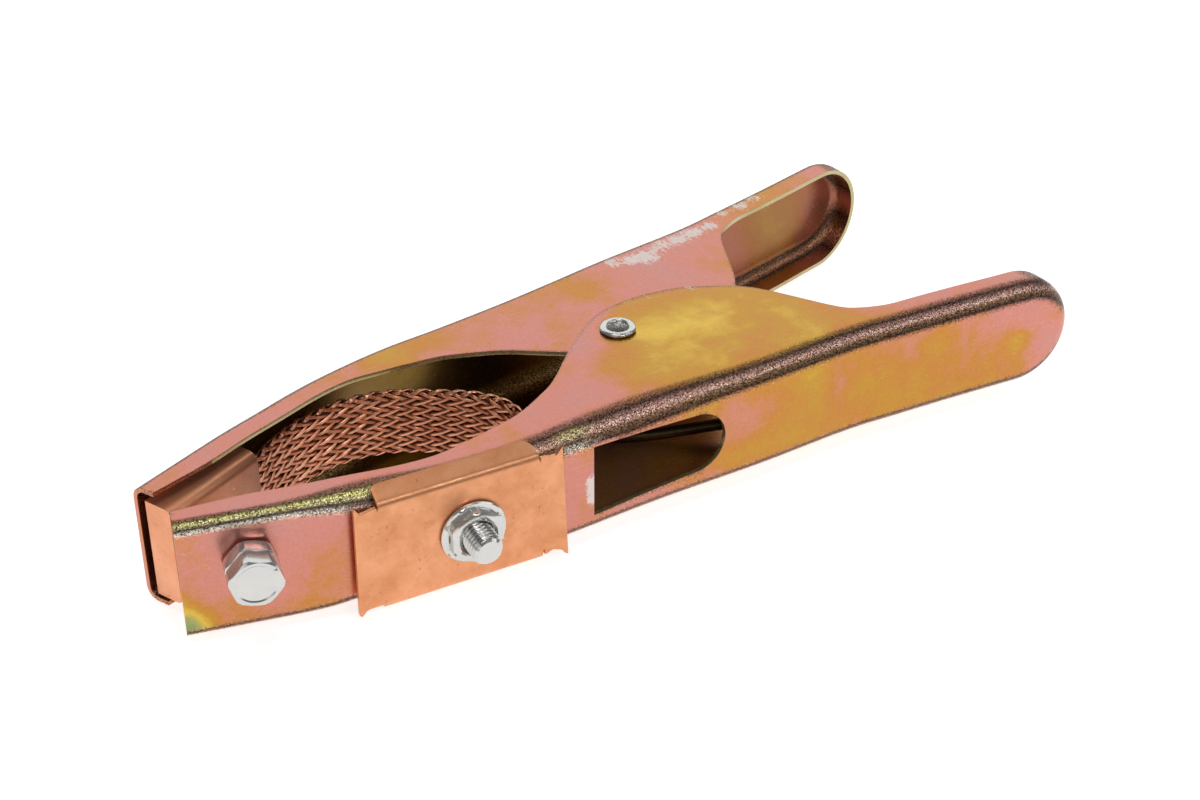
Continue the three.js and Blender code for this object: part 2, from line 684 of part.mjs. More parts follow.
// One arm with the pieces fastened to its jaw
function armGroup(side, takesCable) {
  const group = new THREE.Group();
  const lockNut = jawNut(lockNutStart, lockNutThickness);
  const innerNut = jawNut(sheet + fit, (padDistance() - sheet - fit) * innerNutShare);
  group.add(piece(`${side}_arm`, armSolid(takesCable), passivatedSteel));
  group.add(piece(`${side}_jaw_bolt`, jawBolt(), brightZinc, jawBoltPlace));
  group.add(piece(`${side}_jaw_lock_nut`, lockNut, brightZinc, jawBoltPlace));
  group.add(piece(`${side}_jaw_inner_nut`, innerNut, brightZinc, jawBoltPlace));
  group.add(piece(`${side}_jaw_contact`, contactCup(), copper, contactPlace));
  group.add(piece(`${side}_braid_pad`, braidPad(), braidCopper, contactPlace));
  return group;
}

const clamp = new THREE.Group();

const frontArm = armGroup('front', true);
frontArm.add(piece('cable_saddle', saddle(), copper, saddlePlace));
frontArm.add(piece('cable_stud', cableStud(), brightZinc, studPlace));
frontArm.add(piece('cable_flange_nut', flangeNut(), brightZinc, studPlace));
clamp.add(frontArm);

// The rear arm has the same outline, turned half a turn about the clamp's long axis, one lap lower
const rearArm = armGroup('rear', false);
rearArm.rotation.x = Math.PI;
rearArm.position.z = armHeight - sheet - lapGap;
clamp.add(rearArm);

clamp.add(piece('pivot_rivet', rivet(), brightZinc));
clamp.add(piece('torsion_spring', spring(), springSteel));
clamp.add(piece('copper_braid', braid(), braidCopper));

// The origin is under the middle of the clamp, on the surface that it lies on
clamp.updateMatrixWorld(true);
const bounds = new THREE.Box3().setFromObject(clamp, true);
const base = bounds.getCenter(new THREE.Vector3()).setZ(bounds.min.z);
clamp.position.sub(base);
console.log('pivot axis at x, y and lowest point below it, mm:', clamp.position.toArray().map((v) => v.toFixed(3)).join(' '));

export default clamp;
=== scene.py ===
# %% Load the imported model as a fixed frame
import math
import random

import bmesh
import bpy
import numpy as np
from mathutils import Matrix, Vector, noise


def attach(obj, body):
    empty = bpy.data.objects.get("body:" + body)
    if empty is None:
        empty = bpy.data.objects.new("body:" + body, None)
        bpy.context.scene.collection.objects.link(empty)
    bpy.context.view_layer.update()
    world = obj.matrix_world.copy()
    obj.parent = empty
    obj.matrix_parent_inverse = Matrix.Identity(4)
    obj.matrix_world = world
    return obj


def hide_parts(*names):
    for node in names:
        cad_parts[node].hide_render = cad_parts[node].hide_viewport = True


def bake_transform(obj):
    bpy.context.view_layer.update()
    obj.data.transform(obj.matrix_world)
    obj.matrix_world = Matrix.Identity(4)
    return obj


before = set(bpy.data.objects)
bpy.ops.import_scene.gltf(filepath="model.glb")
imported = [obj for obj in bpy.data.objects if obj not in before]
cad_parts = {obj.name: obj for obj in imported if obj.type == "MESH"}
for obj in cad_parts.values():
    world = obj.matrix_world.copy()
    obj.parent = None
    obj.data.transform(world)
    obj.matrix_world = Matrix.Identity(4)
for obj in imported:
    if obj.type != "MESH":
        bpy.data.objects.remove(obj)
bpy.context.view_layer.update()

print("solids in the frame:", len(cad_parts))

# %% [markdown]
# # A spring ground clamp
#
# Two steel arms are pressed from 1.2 mm sheet, lapped on a tubular rivet and pushed shut by a coiled
# spring. Copper cups line the jaws, a woven copper strap joins them, and a copper saddle with a stud
# takes the cable lug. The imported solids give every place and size. Here each of them is made again
# with the rounds, threads, weave and finish of the real one.
#
# Lengths are written in millimetres from the pivot axis, at the underside of the front arm, as they
# are on the drawing of the arms. One function turns them into metres in the frame of the model.

# %% Millimetres on the drawing, metres in the model
MM = 0.001
PIVOT = Vector((0.00668, 0.0, 0.0027))


def placed(x, y, z, turn=0.0, tilt=0.0):
    """A place on the drawing, with its turn about Z and its tilt about Y."""
    spot = Matrix.Translation(PIVOT + Vector((x, y, z)) * MM)
    return spot @ Matrix.Rotation(turn, 4, "Z") @ Matrix.Rotation(tilt, 4, "Y")


# the rear arm is the same stamping, turned half a turn about the clamp's long axis, one lap lower
LAP = 1.5
ARM_HEIGHT = 31.5
TO_REAR = placed(0, 0, ARM_HEIGHT - LAP) @ Matrix.Rotation(math.pi, 4, "X") @ placed(0, 0, 0).inverted()
print("middle of the two lapped arms, mm:", (ARM_HEIGHT - LAP) / 2)

# %% [markdown]
# ## Working by hand
#
# An operator works on whatever is selected, so the bench is cleared before each job. These few
# helpers select a piece or a part of it, put a modifier on it and apply it, cut one piece with
# another, move a finished piece to its place in the model with its object left at the origin, and
# write the values that its material reads.

# %% Bench helpers
DOUBLED = 0.01 * MM  # points this near are one point


def clear_bench():
    if bpy.context.object and bpy.context.object.mode != "OBJECT":
        bpy.ops.object.mode_set(mode="OBJECT")
    bpy.ops.object.select_all(action="DESELECT")


def take(piece, mode="OBJECT"):
    clear_bench()
    piece.select_set(True)
    bpy.context.view_layer.objects.active = piece
    bpy.ops.object.mode_set(mode=mode)
    return piece


def take_all(piece):
    """Edit mode with the whole piece selected."""
    take(piece, "EDIT")
    bpy.ops.mesh.select_all(action="SELECT")


def put_down():
    bpy.ops.object.mode_set(mode="OBJECT")


def into_scene(name, data):
    """An object for data that is ready, such as a lamp, a curve or a mesh made from its points."""
    piece = bpy.data.objects.new(name, data)
    bpy.context.scene.collection.objects.link(piece)
    return piece


def call_it(name):
    piece = bpy.context.object
    piece.name = piece.data.name = name
    return piece


def finish_with(piece, kind, **settings):
    take(piece)
    modifier = piece.modifiers.new(kind, kind)
    for setting, value in settings.items():
        setattr(modifier, setting, value)
    bpy.ops.object.modifier_apply(modifier=modifier.name)
    return piece


def cut_with(piece, tool, operation="DIFFERENCE"):
    finish_with(piece, "BOOLEAN", object=tool, operation=operation, solver="EXACT")
    bpy.data.objects.remove(tool)
    return piece


def tidy_mesh(piece):
    """Merges doubled points and turns every face outwards."""
    take_all(piece)
    bpy.ops.mesh.remove_doubles(threshold=DOUBLED)
    bpy.ops.mesh.normals_make_consistent(inside=False)
    put_down()
    return piece


def select_in(piece, kind, test):
    """In edit mode, selects the edges (kind "EDGE") or faces (kind "FACE") that the test picks."""
    take(piece, "EDIT")
    bpy.ops.mesh.select_mode(type=kind)
    bpy.ops.mesh.select_all(action="DESELECT")
    mesh = bmesh.from_edit_mesh(piece.data)
    for part in mesh.edges if kind == "EDGE" else mesh.faces:
        part.select_set(test(part))
    bmesh.update_edit_mesh(piece.data)


def break_edges(piece, width, segments=2, angle=40, material=-1):
    """The small rounds that stamping, turning and plating leave on every edge."""
    return finish_with(piece, "BEVEL", width=width * MM, segments=segments, limit_method="ANGLE",
                       angle_limit=math.radians(angle), harden_normals=False, miter_outer="MITER_ARC",
                       material=material)


def smooth(piece, angle=32):
    take(piece)
    bpy.ops.object.shade_smooth_by_angle(angle=math.radians(angle))
    return piece


def copy_of(piece, name):
    twin = piece.copy()
    twin.data = piece.data.copy()
    twin.name = twin.data.name = name
    bpy.context.scene.collection.objects.link(twin)
    return twin


def carry(piece, matrix):
    """Moves the mesh and leaves the object at the origin, unturned and unscaled."""
    piece.data.transform(piece.matrix_world)
    piece.matrix_world = Matrix.Identity(4)
    piece.data.transform(matrix)
    piece.data.update()
    return piece


def points_of(piece):
    """Every point's place as one row of an array."""
    co = np.empty(len(piece.data.vertices) * 3)
    piece.data.vertices.foreach_get("co", co)
    return co.reshape(-1, 3)


def write_values(piece, name, values):
    """One number for each point, which the materials read by its name."""
    layer = piece.data.attributes.new(name, "FLOAT", "POINT")
    layer.data.foreach_set("value", np.array(values, np.float32))


def report(piece):
    triangles = sum(len(face.vertices) - 2 for face in piece.data.polygons)
    print(f"{piece.name}: {triangles} triangles")
    return piece

# %% [markdown]
# ## Turned and six-sided pieces
#
# A rivet, a washer face or a chamfer is a profile spun round an axis. The profile is drawn as by
# hand, one point pulled out of the last. A nut is a six-sided bar that a turned shape has chamfered:
# the two are crossed, and what both hold is kept. All of them run along the local Y axis.

# %% Lathe and hexagon
def drawn(name, points):
    """One point, extruded from place to place; points are in millimetres."""
    clear_bench()
    bpy.ops.mesh.primitive_plane_add(size=MM)
    line = call_it(name)
    bpy.ops.object.mode_set(mode="EDIT")
    bpy.ops.mesh.select_mode(type="VERT")
    bpy.ops.mesh.select_all(action="SELECT")
    bpy.ops.mesh.merge(type="CENTER")
    steps = [Vector(point) * MM for point in points]
    bpy.ops.transform.translate(value=steps[0])
    for before, after in zip(steps, steps[1:]):
        bpy.ops.mesh.extrude_region_move(TRANSFORM_OT_translate={"value": after - before})
    return line


def turned(name, profile, steps=48):
    """A profile of (radius, place along Y) spun round the Y axis."""
    piece = drawn(name, [(radius, along, 0) for radius, along in profile])
    bpy.ops.mesh.select_all(action="SELECT")
    bpy.ops.mesh.spin(steps=steps, angle=math.tau, center=(0, 0, 0), axis=(0, 1, 0))
    return tidy_mesh(piece)


def slab(name, middle, size):
    clear_bench()
    bpy.ops.mesh.primitive_cube_add(size=1, location=Vector(middle) * MM, scale=Vector(size) * MM)
    return carry(call_it(name), Matrix.Identity(4))


def bar(name, radius, start, end, sides=48):
    clear_bench()
    bpy.ops.mesh.primitive_cylinder_add(vertices=sides, radius=radius * MM, depth=(end - start) * MM,
                                        location=(0, (start + end) / 2 * MM, 0),
                                        rotation=(math.pi / 2, 0, 0))
    piece = call_it(name)
    return carry(piece, Matrix.Identity(4))


JAW_FLATS, STUD_FLATS = 12.0, 13.0
JAW_HEX_TURN = math.radians(17.4)
CORNER_SHARE = 0.94  # how much of a sharp corner the forging fills
DISH_FAR, DISH_NEAR = 1.1, 0.7  # the dish's slope lies this far in from the rim


def hexagon(name, start, end, flats, turn=0.0, low_rim=0.9, high_rim=0.9, dish=0.0):
    """
    A six-sided bar, a corner up unless it is turned, crossed with a turned shape: a 30 degree chamfer
    from a rim at each end that has one, corners rounded as cold forging leaves them, and a face that
    may be dished.
    """
    corner = flats / math.sqrt(3)
    body = bar(name, corner, start, end, sides=6)
    carry(body, Matrix.Rotation(turn, 4, "Y"))
    wide = corner * CORNER_SHARE
    slope = math.tan(math.radians(30))
    low_edge, high_edge = flats / 2 * low_rim, flats / 2 * high_rim
    low, high = [(0, start)], [(wide, end)]
    if dish:
        low = [(0, start + dish), (low_edge - DISH_FAR, start + dish), (low_edge - DISH_NEAR, start)]
    if low_rim:
        low.append((low_edge, start))
    low.append((wide, start + (wide - low_edge) * slope if low_rim else start))
    if high_rim:
        high = [(wide, end - (wide - high_edge) * slope), (high_edge, end)]
    return cut_with(body, turned(name + "_chamfer", low + high + [(0, end)], 72), "INTERSECT")

# %% [markdown]
# ## Lines of the arms seen from above
#
# The web line is the outside of the arm, and the free edge is where its two flanges stop. Each pair
# is a share of the length along the arm, of the nose length where it is negative and of the handle
# length where it is positive, and a share of the web's reach across it. A smooth curve runs through
# them.

# %% Web line and free edge
NOSE_LENGTH = 131.6
HANDLE_LENGTH = 118.4
WEB_REACH = 34.8
SHEET = 1.2

WEB_SHARES = [
    (-1.05, 0.239), (-1, 0.302), (-0.752, 0.612), (-0.582, 0.802), (-0.415, 0.914), (-0.274, 0.943),
    (-0.109, 0.974), (0.012, 1.011), (0.173, 1.06), (0.404, 1.103), (0.529, 1.161), (0.689, 1.244),
    (0.849, 1.336), (1, 1.42),
]
FREE_SHARES = [
    (-1.05, 0.07), (-0.988, 0.124), (-0.862, 0.233), (-0.766, 0.352), (-0.686, 0.44), (-0.587, 0.552),
    (-0.515, 0.596), (-0.451, 0.577), (-0.391, 0.549), (-0.325, 0.505), (-0.257, 0.397), (-0.21, 0.299),
    (-0.141, 0.086), (-0.103, -0.029), (-0.055, -0.158), (-0.011, -0.25), (0.04, -0.3), (0.121, -0.303),
    (0.207, -0.24), (0.251, -0.167), (0.327, 0.011), (0.364, 0.152), (0.398, 0.36), (0.453, 0.701),
    (0.49, 0.815), (0.549, 0.902), (0.622, 0.943), (0.732, 1.006), (0.843, 1.075), (1, 1.16),
]


def on_drawing(shares):
    return [Vector((along * (NOSE_LENGTH if along < 0 else HANDLE_LENGTH), -across * WEB_REACH, 0))
            for along, across in shares]


def smooth_line(corners, steps=24):
    """A smooth curve through the corners, as a drawing program's spline gives it."""
    line = []
    last = len(corners) - 1
    for i in range(last):
        p0, p1 = corners[max(i - 1, 0)], corners[i]
        p2, p3 = corners[i + 1], corners[min(i + 2, last)]
        v0, v1 = (p2 - p0) / 2, (p3 - p1) / 2
        for step in range(steps):
            t = step / steps
            line.append((2 * p1 - 2 * p2 + v0 + v1) * t ** 3
                        + (3 * p2 - 3 * p1 - 2 * v0 - v1) * t ** 2 + v0 * t + p1)
    line.append(corners[last])
    return np.array(line)


WEB_LINE = smooth_line(on_drawing(WEB_SHARES))
FREE_LINE = smooth_line(on_drawing(FREE_SHARES))


def web_at(x):
    return np.interp(x, WEB_LINE[:, 0], WEB_LINE[:, 1])


def free_at(x):
    return np.interp(x, FREE_LINE[:, 0], FREE_LINE[:, 1])


def web_place(x, z):
    """A place on the outside of the web: local X along it to the handle, local Y into the clamp."""
    slope = (web_at(x + SHEET) - web_at(x - SHEET)) / (2 * SHEET)
    return placed(x, web_at(x), z, math.atan(slope))


def eased(x, start, end):
    t = np.clip((x - start) / (end - start), 0, 1)
    return t * t * (3 - 2 * t)


ends = [round(float(web_at(x)), 2) for x in (-NOSE_LENGTH, 0, HANDLE_LENGTH)]
print("web at the nose, pivot and handle end, mm:", ends)

# %% [markdown]
# ## A sheet that is pressed to shape
#
# Arms, saddle and cups start as sheet metal. A flat grid is the blank, and a function says where
# each of its points goes in the press. Solidify then gives the sheet its thickness, and its rim
# takes the second material, the plated cut edge.

# %% Press
def pressed(name, columns, rows, to_place):
    """A flat grid whose point in one column and row goes to to_place(column, row), in millimetres."""
    clear_bench()
    bpy.ops.mesh.primitive_grid_add(x_subdivisions=len(columns) - 1, y_subdivisions=len(rows) - 1, size=1)
    sheet = call_it(name)
    flat = points_of(sheet)
    column = np.array(columns)[np.rint((flat[:, 0] + 0.5) * (len(columns) - 1)).astype(int)]
    row = np.array(rows)[np.rint((flat[:, 1] + 0.5) * (len(rows) - 1)).astype(int)]
    spots = np.array([to_place(c, r) for c, r in zip(column, row)]) * MM
    sheet.data.vertices.foreach_set("co", spots.ravel())
    sheet.data.update()
    return sheet


def thicken(sheet, thickness, materials):
    for material in materials:
        sheet.data.materials.append(material)
    return finish_with(sheet, "SOLIDIFY", thickness=thickness * MM, offset=-1, use_even_offset=True,
                       use_quality_normals=True, material_offset_rim=len(materials) - 1)


def face_out(sheet, direction, test):
    """Turns the sheet over if the faces that the test picks look away from the direction."""
    faces = [f for f in sheet.data.polygons if test(f.center)]
    if sum(f.normal.dot(direction) for f in faces) < 0:
        take_all(sheet)
        bpy.ops.mesh.flip_normals()
        put_down()
    return sheet

# %% [markdown]
# ## Nodes
#
# Each material is built from small node trees. One helper adds a node, sets it and joins it in a
# single line, and another opens a shader group with named sockets, so that an effect is built once
# and placed in many materials.

# %% Node helpers
def put(tree, socket, value):
    """Joins a node's output to a socket, or sets the socket to a value; a colour has three numbers."""
    if isinstance(value, bpy.types.NodeSocket):
        tree.links.new(value, socket)
    else:
        socket.default_value = (*value, 1.0) if socket.type == "RGBA" else value


def add(tree, kind, sockets=None, **settings):
    made = tree.nodes.new("ShaderNode" + kind)
    for setting, value in settings.items():
        setattr(made, setting, value)
    for socket, value in (sockets or {}).items():
        put(tree, made.inputs[socket], value)
    return made


def maths(tree, operation, a, b=0.0, c=0.0, clamp=False):
    return add(tree, "Math", {0: a, 1: b, 2: c}, operation=operation, use_clamp=clamp).outputs[0]


def times(tree, a, b, clamp=False):
    return maths(tree, "MULTIPLY", a, b, clamp=clamp)


def times_plus(tree, a, factor, plus):
    return maths(tree, "MULTIPLY_ADD", a, factor, plus)


def ranged(tree, value, low, high, to_low=0.0, to_high=1.0):
    sockets = {"Value": value, "From Min": low, "From Max": high, "To Min": to_low, "To Max": to_high}
    return add(tree, "MapRange", sockets).outputs[0]


def blended(tree, amount, a, b):
    return add(tree, "Mix", {0: amount, 6: a, 7: b}, data_type="RGBA").outputs[2]


def scaled(tree, colour, factor):
    return add(tree, "VectorMath", {0: colour, "Scale": factor}, operation="SCALE").outputs[0]


def ramp(tree, value, stops):
    made = add(tree, "ValToRGB", {0: value})
    band = made.color_ramp
    while len(band.elements) < len(stops):
        band.elements.new(0.5)
    for element, (spot, colour) in zip(band.elements, stops):
        element.position = spot
        element.color = (*colour, 1.0)
    return made.outputs[0]


def painted(tree, name):
    """The value that write_values gave each point under this name; 0 where a piece has none."""
    return add(tree, "Attribute", attribute_name=name).outputs["Fac"]


def object_point(tree, scale=(1, 1, 1), turn=(0, 0, 0)):
    spot = add(tree, "TexCoord").outputs["Object"]
    return add(tree, "Mapping", {"Vector": spot, "Scale": scale, "Rotation": turn}).outputs[0]


def noisy(tree, spot, scale, detail, roughness=0.5, distortion=0.0):
    sockets = {"Vector": spot, "Scale": scale, "Detail": detail, "Roughness": roughness,
               "Distortion": distortion}
    return add(tree, "TexNoise", sockets).outputs[0]


def opened_group(name, inputs, outputs):
    group = bpy.data.node_groups.new(name, "ShaderNodeTree")
    for socket, default in inputs.items():
        made = group.interface.new_socket(socket, in_out="INPUT", socket_type="NodeSocketFloat")
        made.default_value = default
    for socket in outputs:
        group.interface.new_socket(socket, in_out="OUTPUT", socket_type="NodeSocketFloat")
    given = group.nodes.new("NodeGroupInput")
    return group, given.outputs, group.nodes.new("NodeGroupOutput")


def joined(group, end, results):
    for socket, value in results.items():
        group.links.new(value, end.inputs[socket])
    return group


def placed_group(tree, group, sockets):
    made = tree.nodes.new("ShaderNodeGroup")
    made.node_tree = group
    for socket, value in sockets.items():
        put(tree, made.inputs[socket], value)
    return made.outputs


def new_material(name):
    material = bpy.data.materials.new(name)
    material.use_nodes = True
    return material, material.node_tree, material.node_tree.nodes["Principled BSDF"]


def surfaced(tree, shader, colour, rough, metallic, relief, strength, depth):
    """Joins a finish to its shader; the relief is a height, shown as a bump this deep in metres."""
    put(tree, shader.inputs["Base Color"], colour)
    put(tree, shader.inputs["Roughness"], rough)
    put(tree, shader.inputs["Metallic"], metallic)
    bump = add(tree, "Bump", {"Height": relief, "Strength": strength, "Distance": depth})
    put(tree, shader.inputs["Normal"], bump.outputs[0])

# %% [markdown]
# ## Shared surface effects
#
# Clouds vary slowly over a plate and are what makes a plated film or handled copper look real.
# Grain is the fine orange-peel skin of pressed sheet. Scratches are thin lines in three directions,
# each made by stretching a fine noise and keeping only its peaks, and they lie in patches.

# %% Clouds, grain and scratches
def make_clouds():
    """Mask is broad and soft; Fine is a smaller pattern with the same seed."""
    group, given, end = opened_group("clouds", {"Size": 40.0, "Low": 0.35, "High": 0.65, "Seed": 0.0},
                                     ("Mask", "Fine"))
    offset = add(group, "CombineXYZ", {"X": given["Seed"], "Y": given["Seed"], "Z": 0.0}).outputs[0]
    spot = add(group, "VectorMath", {0: object_point(group), 1: offset}, operation="ADD").outputs[0]
    wide = noisy(group, spot, given["Size"], 3.0, distortion=0.6)
    fine = noisy(group, spot, times(group, given["Size"], 9.0), 6.0, 0.65)
    return joined(group, end, {"Mask": ranged(group, wide, given["Low"], given["High"]), "Fine": fine})


def make_grain():
    group, given, end = opened_group("grain", {"Size": 900.0}, ("Height",))
    spot = object_point(group)
    peel = noisy(group, spot, given["Size"], 2.0)
    pit_size = times(group, given["Size"], 1.7)
    pits = add(group, "TexVoronoi", {"Vector": spot, "Scale": pit_size}).outputs[0]
    return joined(group, end, {"Height": times_plus(group, pits, 0.35, peel)})


def make_scratches():
    group, given, end = opened_group("scratches", {"Size": 120.0, "Amount": 0.5}, ("Mask",))
    lines = []
    for turn, stretch in (((0, 0, 0.3), (0.05, 1, 1)), ((0, 0, -0.9), (1, 0.04, 1)),
                          ((0.2, 0, 1.9), (0.06, 1, 1))):
        spot = object_point(group, stretch, turn)
        fine = noisy(group, spot, times(group, given["Size"], 22.0), 2.0, 0.6)
        lines.append(ranged(group, fine, 0.66, 0.72))
    where = noisy(group, object_point(group), given["Size"], 1.0)
    line = maths(group, "MAXIMUM", maths(group, "MAXIMUM", lines[0], lines[1]), lines[2])
    patchy = times(group, line, ranged(group, where, 0.42, 0.6))
    return joined(group, end, {"Mask": times(group, patchy, given["Amount"])})


CLOUDS, GRAIN, SCRATCHES = make_clouds(), make_grain(), make_scratches()
print("shader groups:", [group.name for group in (CLOUDS, GRAIN, SCRATCHES)])

# %% [markdown]
# ## Yellow-passivated steel
#
# Zinc plate dipped in a chromate bath grows a film so thin that it colours light like oil on water:
# pink, salmon, gold and green, in slow clouds, with the metal's gloss below. The film's thickness
# runs through one colour ramp. It is painted on the mesh in broad patches, and noise breaks it up.
#
# Other painted values steer the rest. "tilt" says how far the skin has turned over the bend, which
# the press has roughened. There the colour is a painted reflection: dark at both borders and a painted
# highlight between them, pink in most places and green where "green" says so, with painted glints
# from the grain. "inside" marks the skins that look into the tray, which get painted shade: olive and
# dull near the jaws, darker and warmer in the handles. "lit" marks the floor of the tray behind the
# slot, where stray light makes the film look milky, and "worn" the places that are rubbed bare.

# %% Film on the arms
FILM = [
    (0.00, (0.66, 0.50, 0.46)), (0.13, (0.71, 0.32, 0.28)), (0.34, (0.77, 0.30, 0.23)),
    (0.50, (0.69, 0.29, 0.065)), (0.64, (0.67, 0.36, 0.055)), (0.80, (0.88, 0.58, 0.09)),
    (0.92, (0.50, 0.46, 0.15)), (1.00, (0.32, 0.40, 0.17)),
]
# painted reflection on the bends, read by tilt: dark bands near both borders, painted highlights between them
PINK_BEND_REFLECTION = [
    (0.00, (0.50, 0.27, 0.16)), (0.14, (0.17, 0.10, 0.06)), (0.32, (0.09, 0.05, 0.04)),
    (0.44, (0.46, 0.27, 0.23)), (0.54, (0.96, 0.56, 0.46)), (0.64, (0.32, 0.19, 0.11)),
    (0.80, (0.06, 0.035, 0.025)), (1.00, (0.60, 0.28, 0.16)),
]
GREEN_BEND_REFLECTION = [
    (0.00, (0.44, 0.30, 0.14)), (0.12, (0.12, 0.09, 0.04)), (0.30, (0.16, 0.13, 0.05)),
    (0.42, (0.86, 0.80, 0.30)), (0.54, (0.70, 0.62, 0.34)), (0.64, (0.07, 0.05, 0.03)),
    (0.78, (1.00, 0.88, 0.74)), (1.00, (0.66, 0.30, 0.17)),
]
# painted shade inside the tray: dark olive near the jaws, a darker and warmer tint in the handles
OLIVE_SHADE, HANDLE_SHADE = (0.24, 0.17, 0.04), (0.80, 0.64, 0.44)
SCRATCH_TINT, BARE_ZINC = (0.75, 0.62, 0.45), (0.76, 0.68, 0.64)


def film_colour(tree, wide, small, bend):
    thick, tilt = painted(tree, "film"), painted(tree, "tilt")
    for cloud, reach in ((wide["Mask"], 0.13), (small["Mask"], 0.055), (wide["Fine"], 0.07)):
        thick = maths(tree, "ADD", thick, times_plus(tree, cloud, 2 * reach, -reach))
    # on the bend the film gives way to the painted reflection
    pink, green = ramp(tree, tilt, PINK_BEND_REFLECTION), ramp(tree, tilt, GREEN_BEND_REFLECTION)
    bend_reflection = blended(tree, painted(tree, "green"), pink, green)
    return blended(tree, times(tree, bend, 0.95), ramp(tree, thick, FILM), bend_reflection)


def looked_into(tree, colour, inside, in_handle):
    """Painted shade on the skins inside the tray: 0.5 is the shade behind the jaws and 1 the handle."""
    near_jaws = times(tree, ranged(tree, inside, 0.0, 0.5, 0.0, 0.85),
                      ranged(tree, inside, 0.6, 1.0, 1.0, 0.0))
    colour = blended(tree, near_jaws, colour, OLIVE_SHADE)
    warm_shade = add(tree, "VectorMath", {0: colour, 1: HANDLE_SHADE}, operation="MULTIPLY").outputs[0]
    return blended(tree, in_handle, colour, warm_shade)


def rubbed_places(tree, small):
    """The worn patches, torn by short streaks along the arm."""
    streaks = noisy(tree, object_point(tree, (1, 0.3, 1), (0, 0, -0.35)), 1300.0, 5.0, 0.7)
    worn = painted(tree, "worn")
    ragged = maths(tree, "ADD", worn, times_plus(tree, small["Fine"], 1.2, -0.6))
    ragged = maths(tree, "ADD", ragged, times_plus(tree, streaks, 1.6, -0.8))
    return times(tree, ranged(tree, ragged, 0.46, 0.72), ranged(tree, worn, 0.05, 0.25))


def make_passivated():
    material, tree, shader = new_material("yellow_passivated_steel")
    tilt, inside = painted(tree, "tilt"), painted(tree, "inside")
    bend = times(tree, ranged(tree, tilt, 0.04, 0.3), ranged(tree, tilt, 0.8, 0.98, 1.0, 0.0))
    in_handle = ranged(tree, inside, 0.6, 1.0)
    wide = placed_group(tree, CLOUDS, {"Size": 38.0, "Low": 0.3, "High": 0.7})
    small = placed_group(tree, CLOUDS, {"Size": 130.0, "Low": 0.3, "High": 0.7, "Seed": 3.0})
    colour = looked_into(tree, film_colour(tree, wide, small, bend), inside, in_handle)
    # painted glints: the grain of the bend's rough skin brightens and darkens its colour
    painted_glint = placed_group(tree, GRAIN, {"Size": 2100.0})["Height"]
    painted_glint = times(tree, bend, times_plus(tree, painted_glint, 4.6, -3.05))
    speck = maths(tree, "ADD", times_plus(tree, small["Fine"], 0.24, 0.70), painted_glint)
    colour = scaled(tree, colour, maths(tree, "MAXIMUM", speck, 0.12))
    marks = placed_group(tree, SCRATCHES, {"Size": 60.0, "Amount": 0.16})["Mask"]
    colour = blended(tree, marks, colour, SCRATCH_TINT)
    rubbed = rubbed_places(tree, small)
    colour = blended(tree, times(tree, rubbed, 0.9), colour, BARE_ZINC)
    rough = times_plus(tree, wide["Fine"], 0.12, 0.20)
    rough = maths(tree, "ADD", rough, times(tree, rubbed, 0.15))
    milky = maths(tree, "MAXIMUM", painted(tree, "lit"), in_handle)
    metallic = times_plus(tree, milky, -0.5, 0.93)
    peel = placed_group(tree, GRAIN, {"Size": 3200.0})["Height"]
    peel = times(tree, peel, times_plus(tree, bend, 1.3, 0.06))
    relief = maths(tree, "SUBTRACT", peel, times(tree, marks, 0.25))
    surfaced(tree, shader, colour, rough, metallic, relief, 0.5, 0.0002)
    return material


def make_cut_edge():
    material, tree, shader = new_material("plated_cut_edge")
    cloud = placed_group(tree, CLOUDS, {"Size": 120.0})
    colour = blended(tree, cloud["Mask"], (0.60, 0.50, 0.27), (0.48, 0.41, 0.20))
    colour = blended(tree, ranged(tree, cloud["Fine"], 0.55, 0.75), colour, (0.72, 0.62, 0.42))
    rough = times_plus(tree, cloud["Fine"], 0.3, 0.15)
    grain = placed_group(tree, GRAIN, {"Size": 2500.0})["Height"]
    surfaced(tree, shader, colour, rough, 0.8, grain, 0.4, 0.0001)
    return material


PASSIVATED, CUT_EDGE = make_passivated(), make_cut_edge()
print("finishes:", PASSIVATED.name, CUT_EDGE.name)

# %% [markdown]
# ## Copper
#
# The saddle and the cups are soft rolled copper: warm orange where it is clean, browner where hands
# and air have reached it, with small dark pits and fine lines. Cups and saddle differ only in how
# far that has gone, so one function makes both. One painted value darkens the cups' faces inwards
# from the nose: painted shade, where they lie deep in the jaw. The saddle has none.

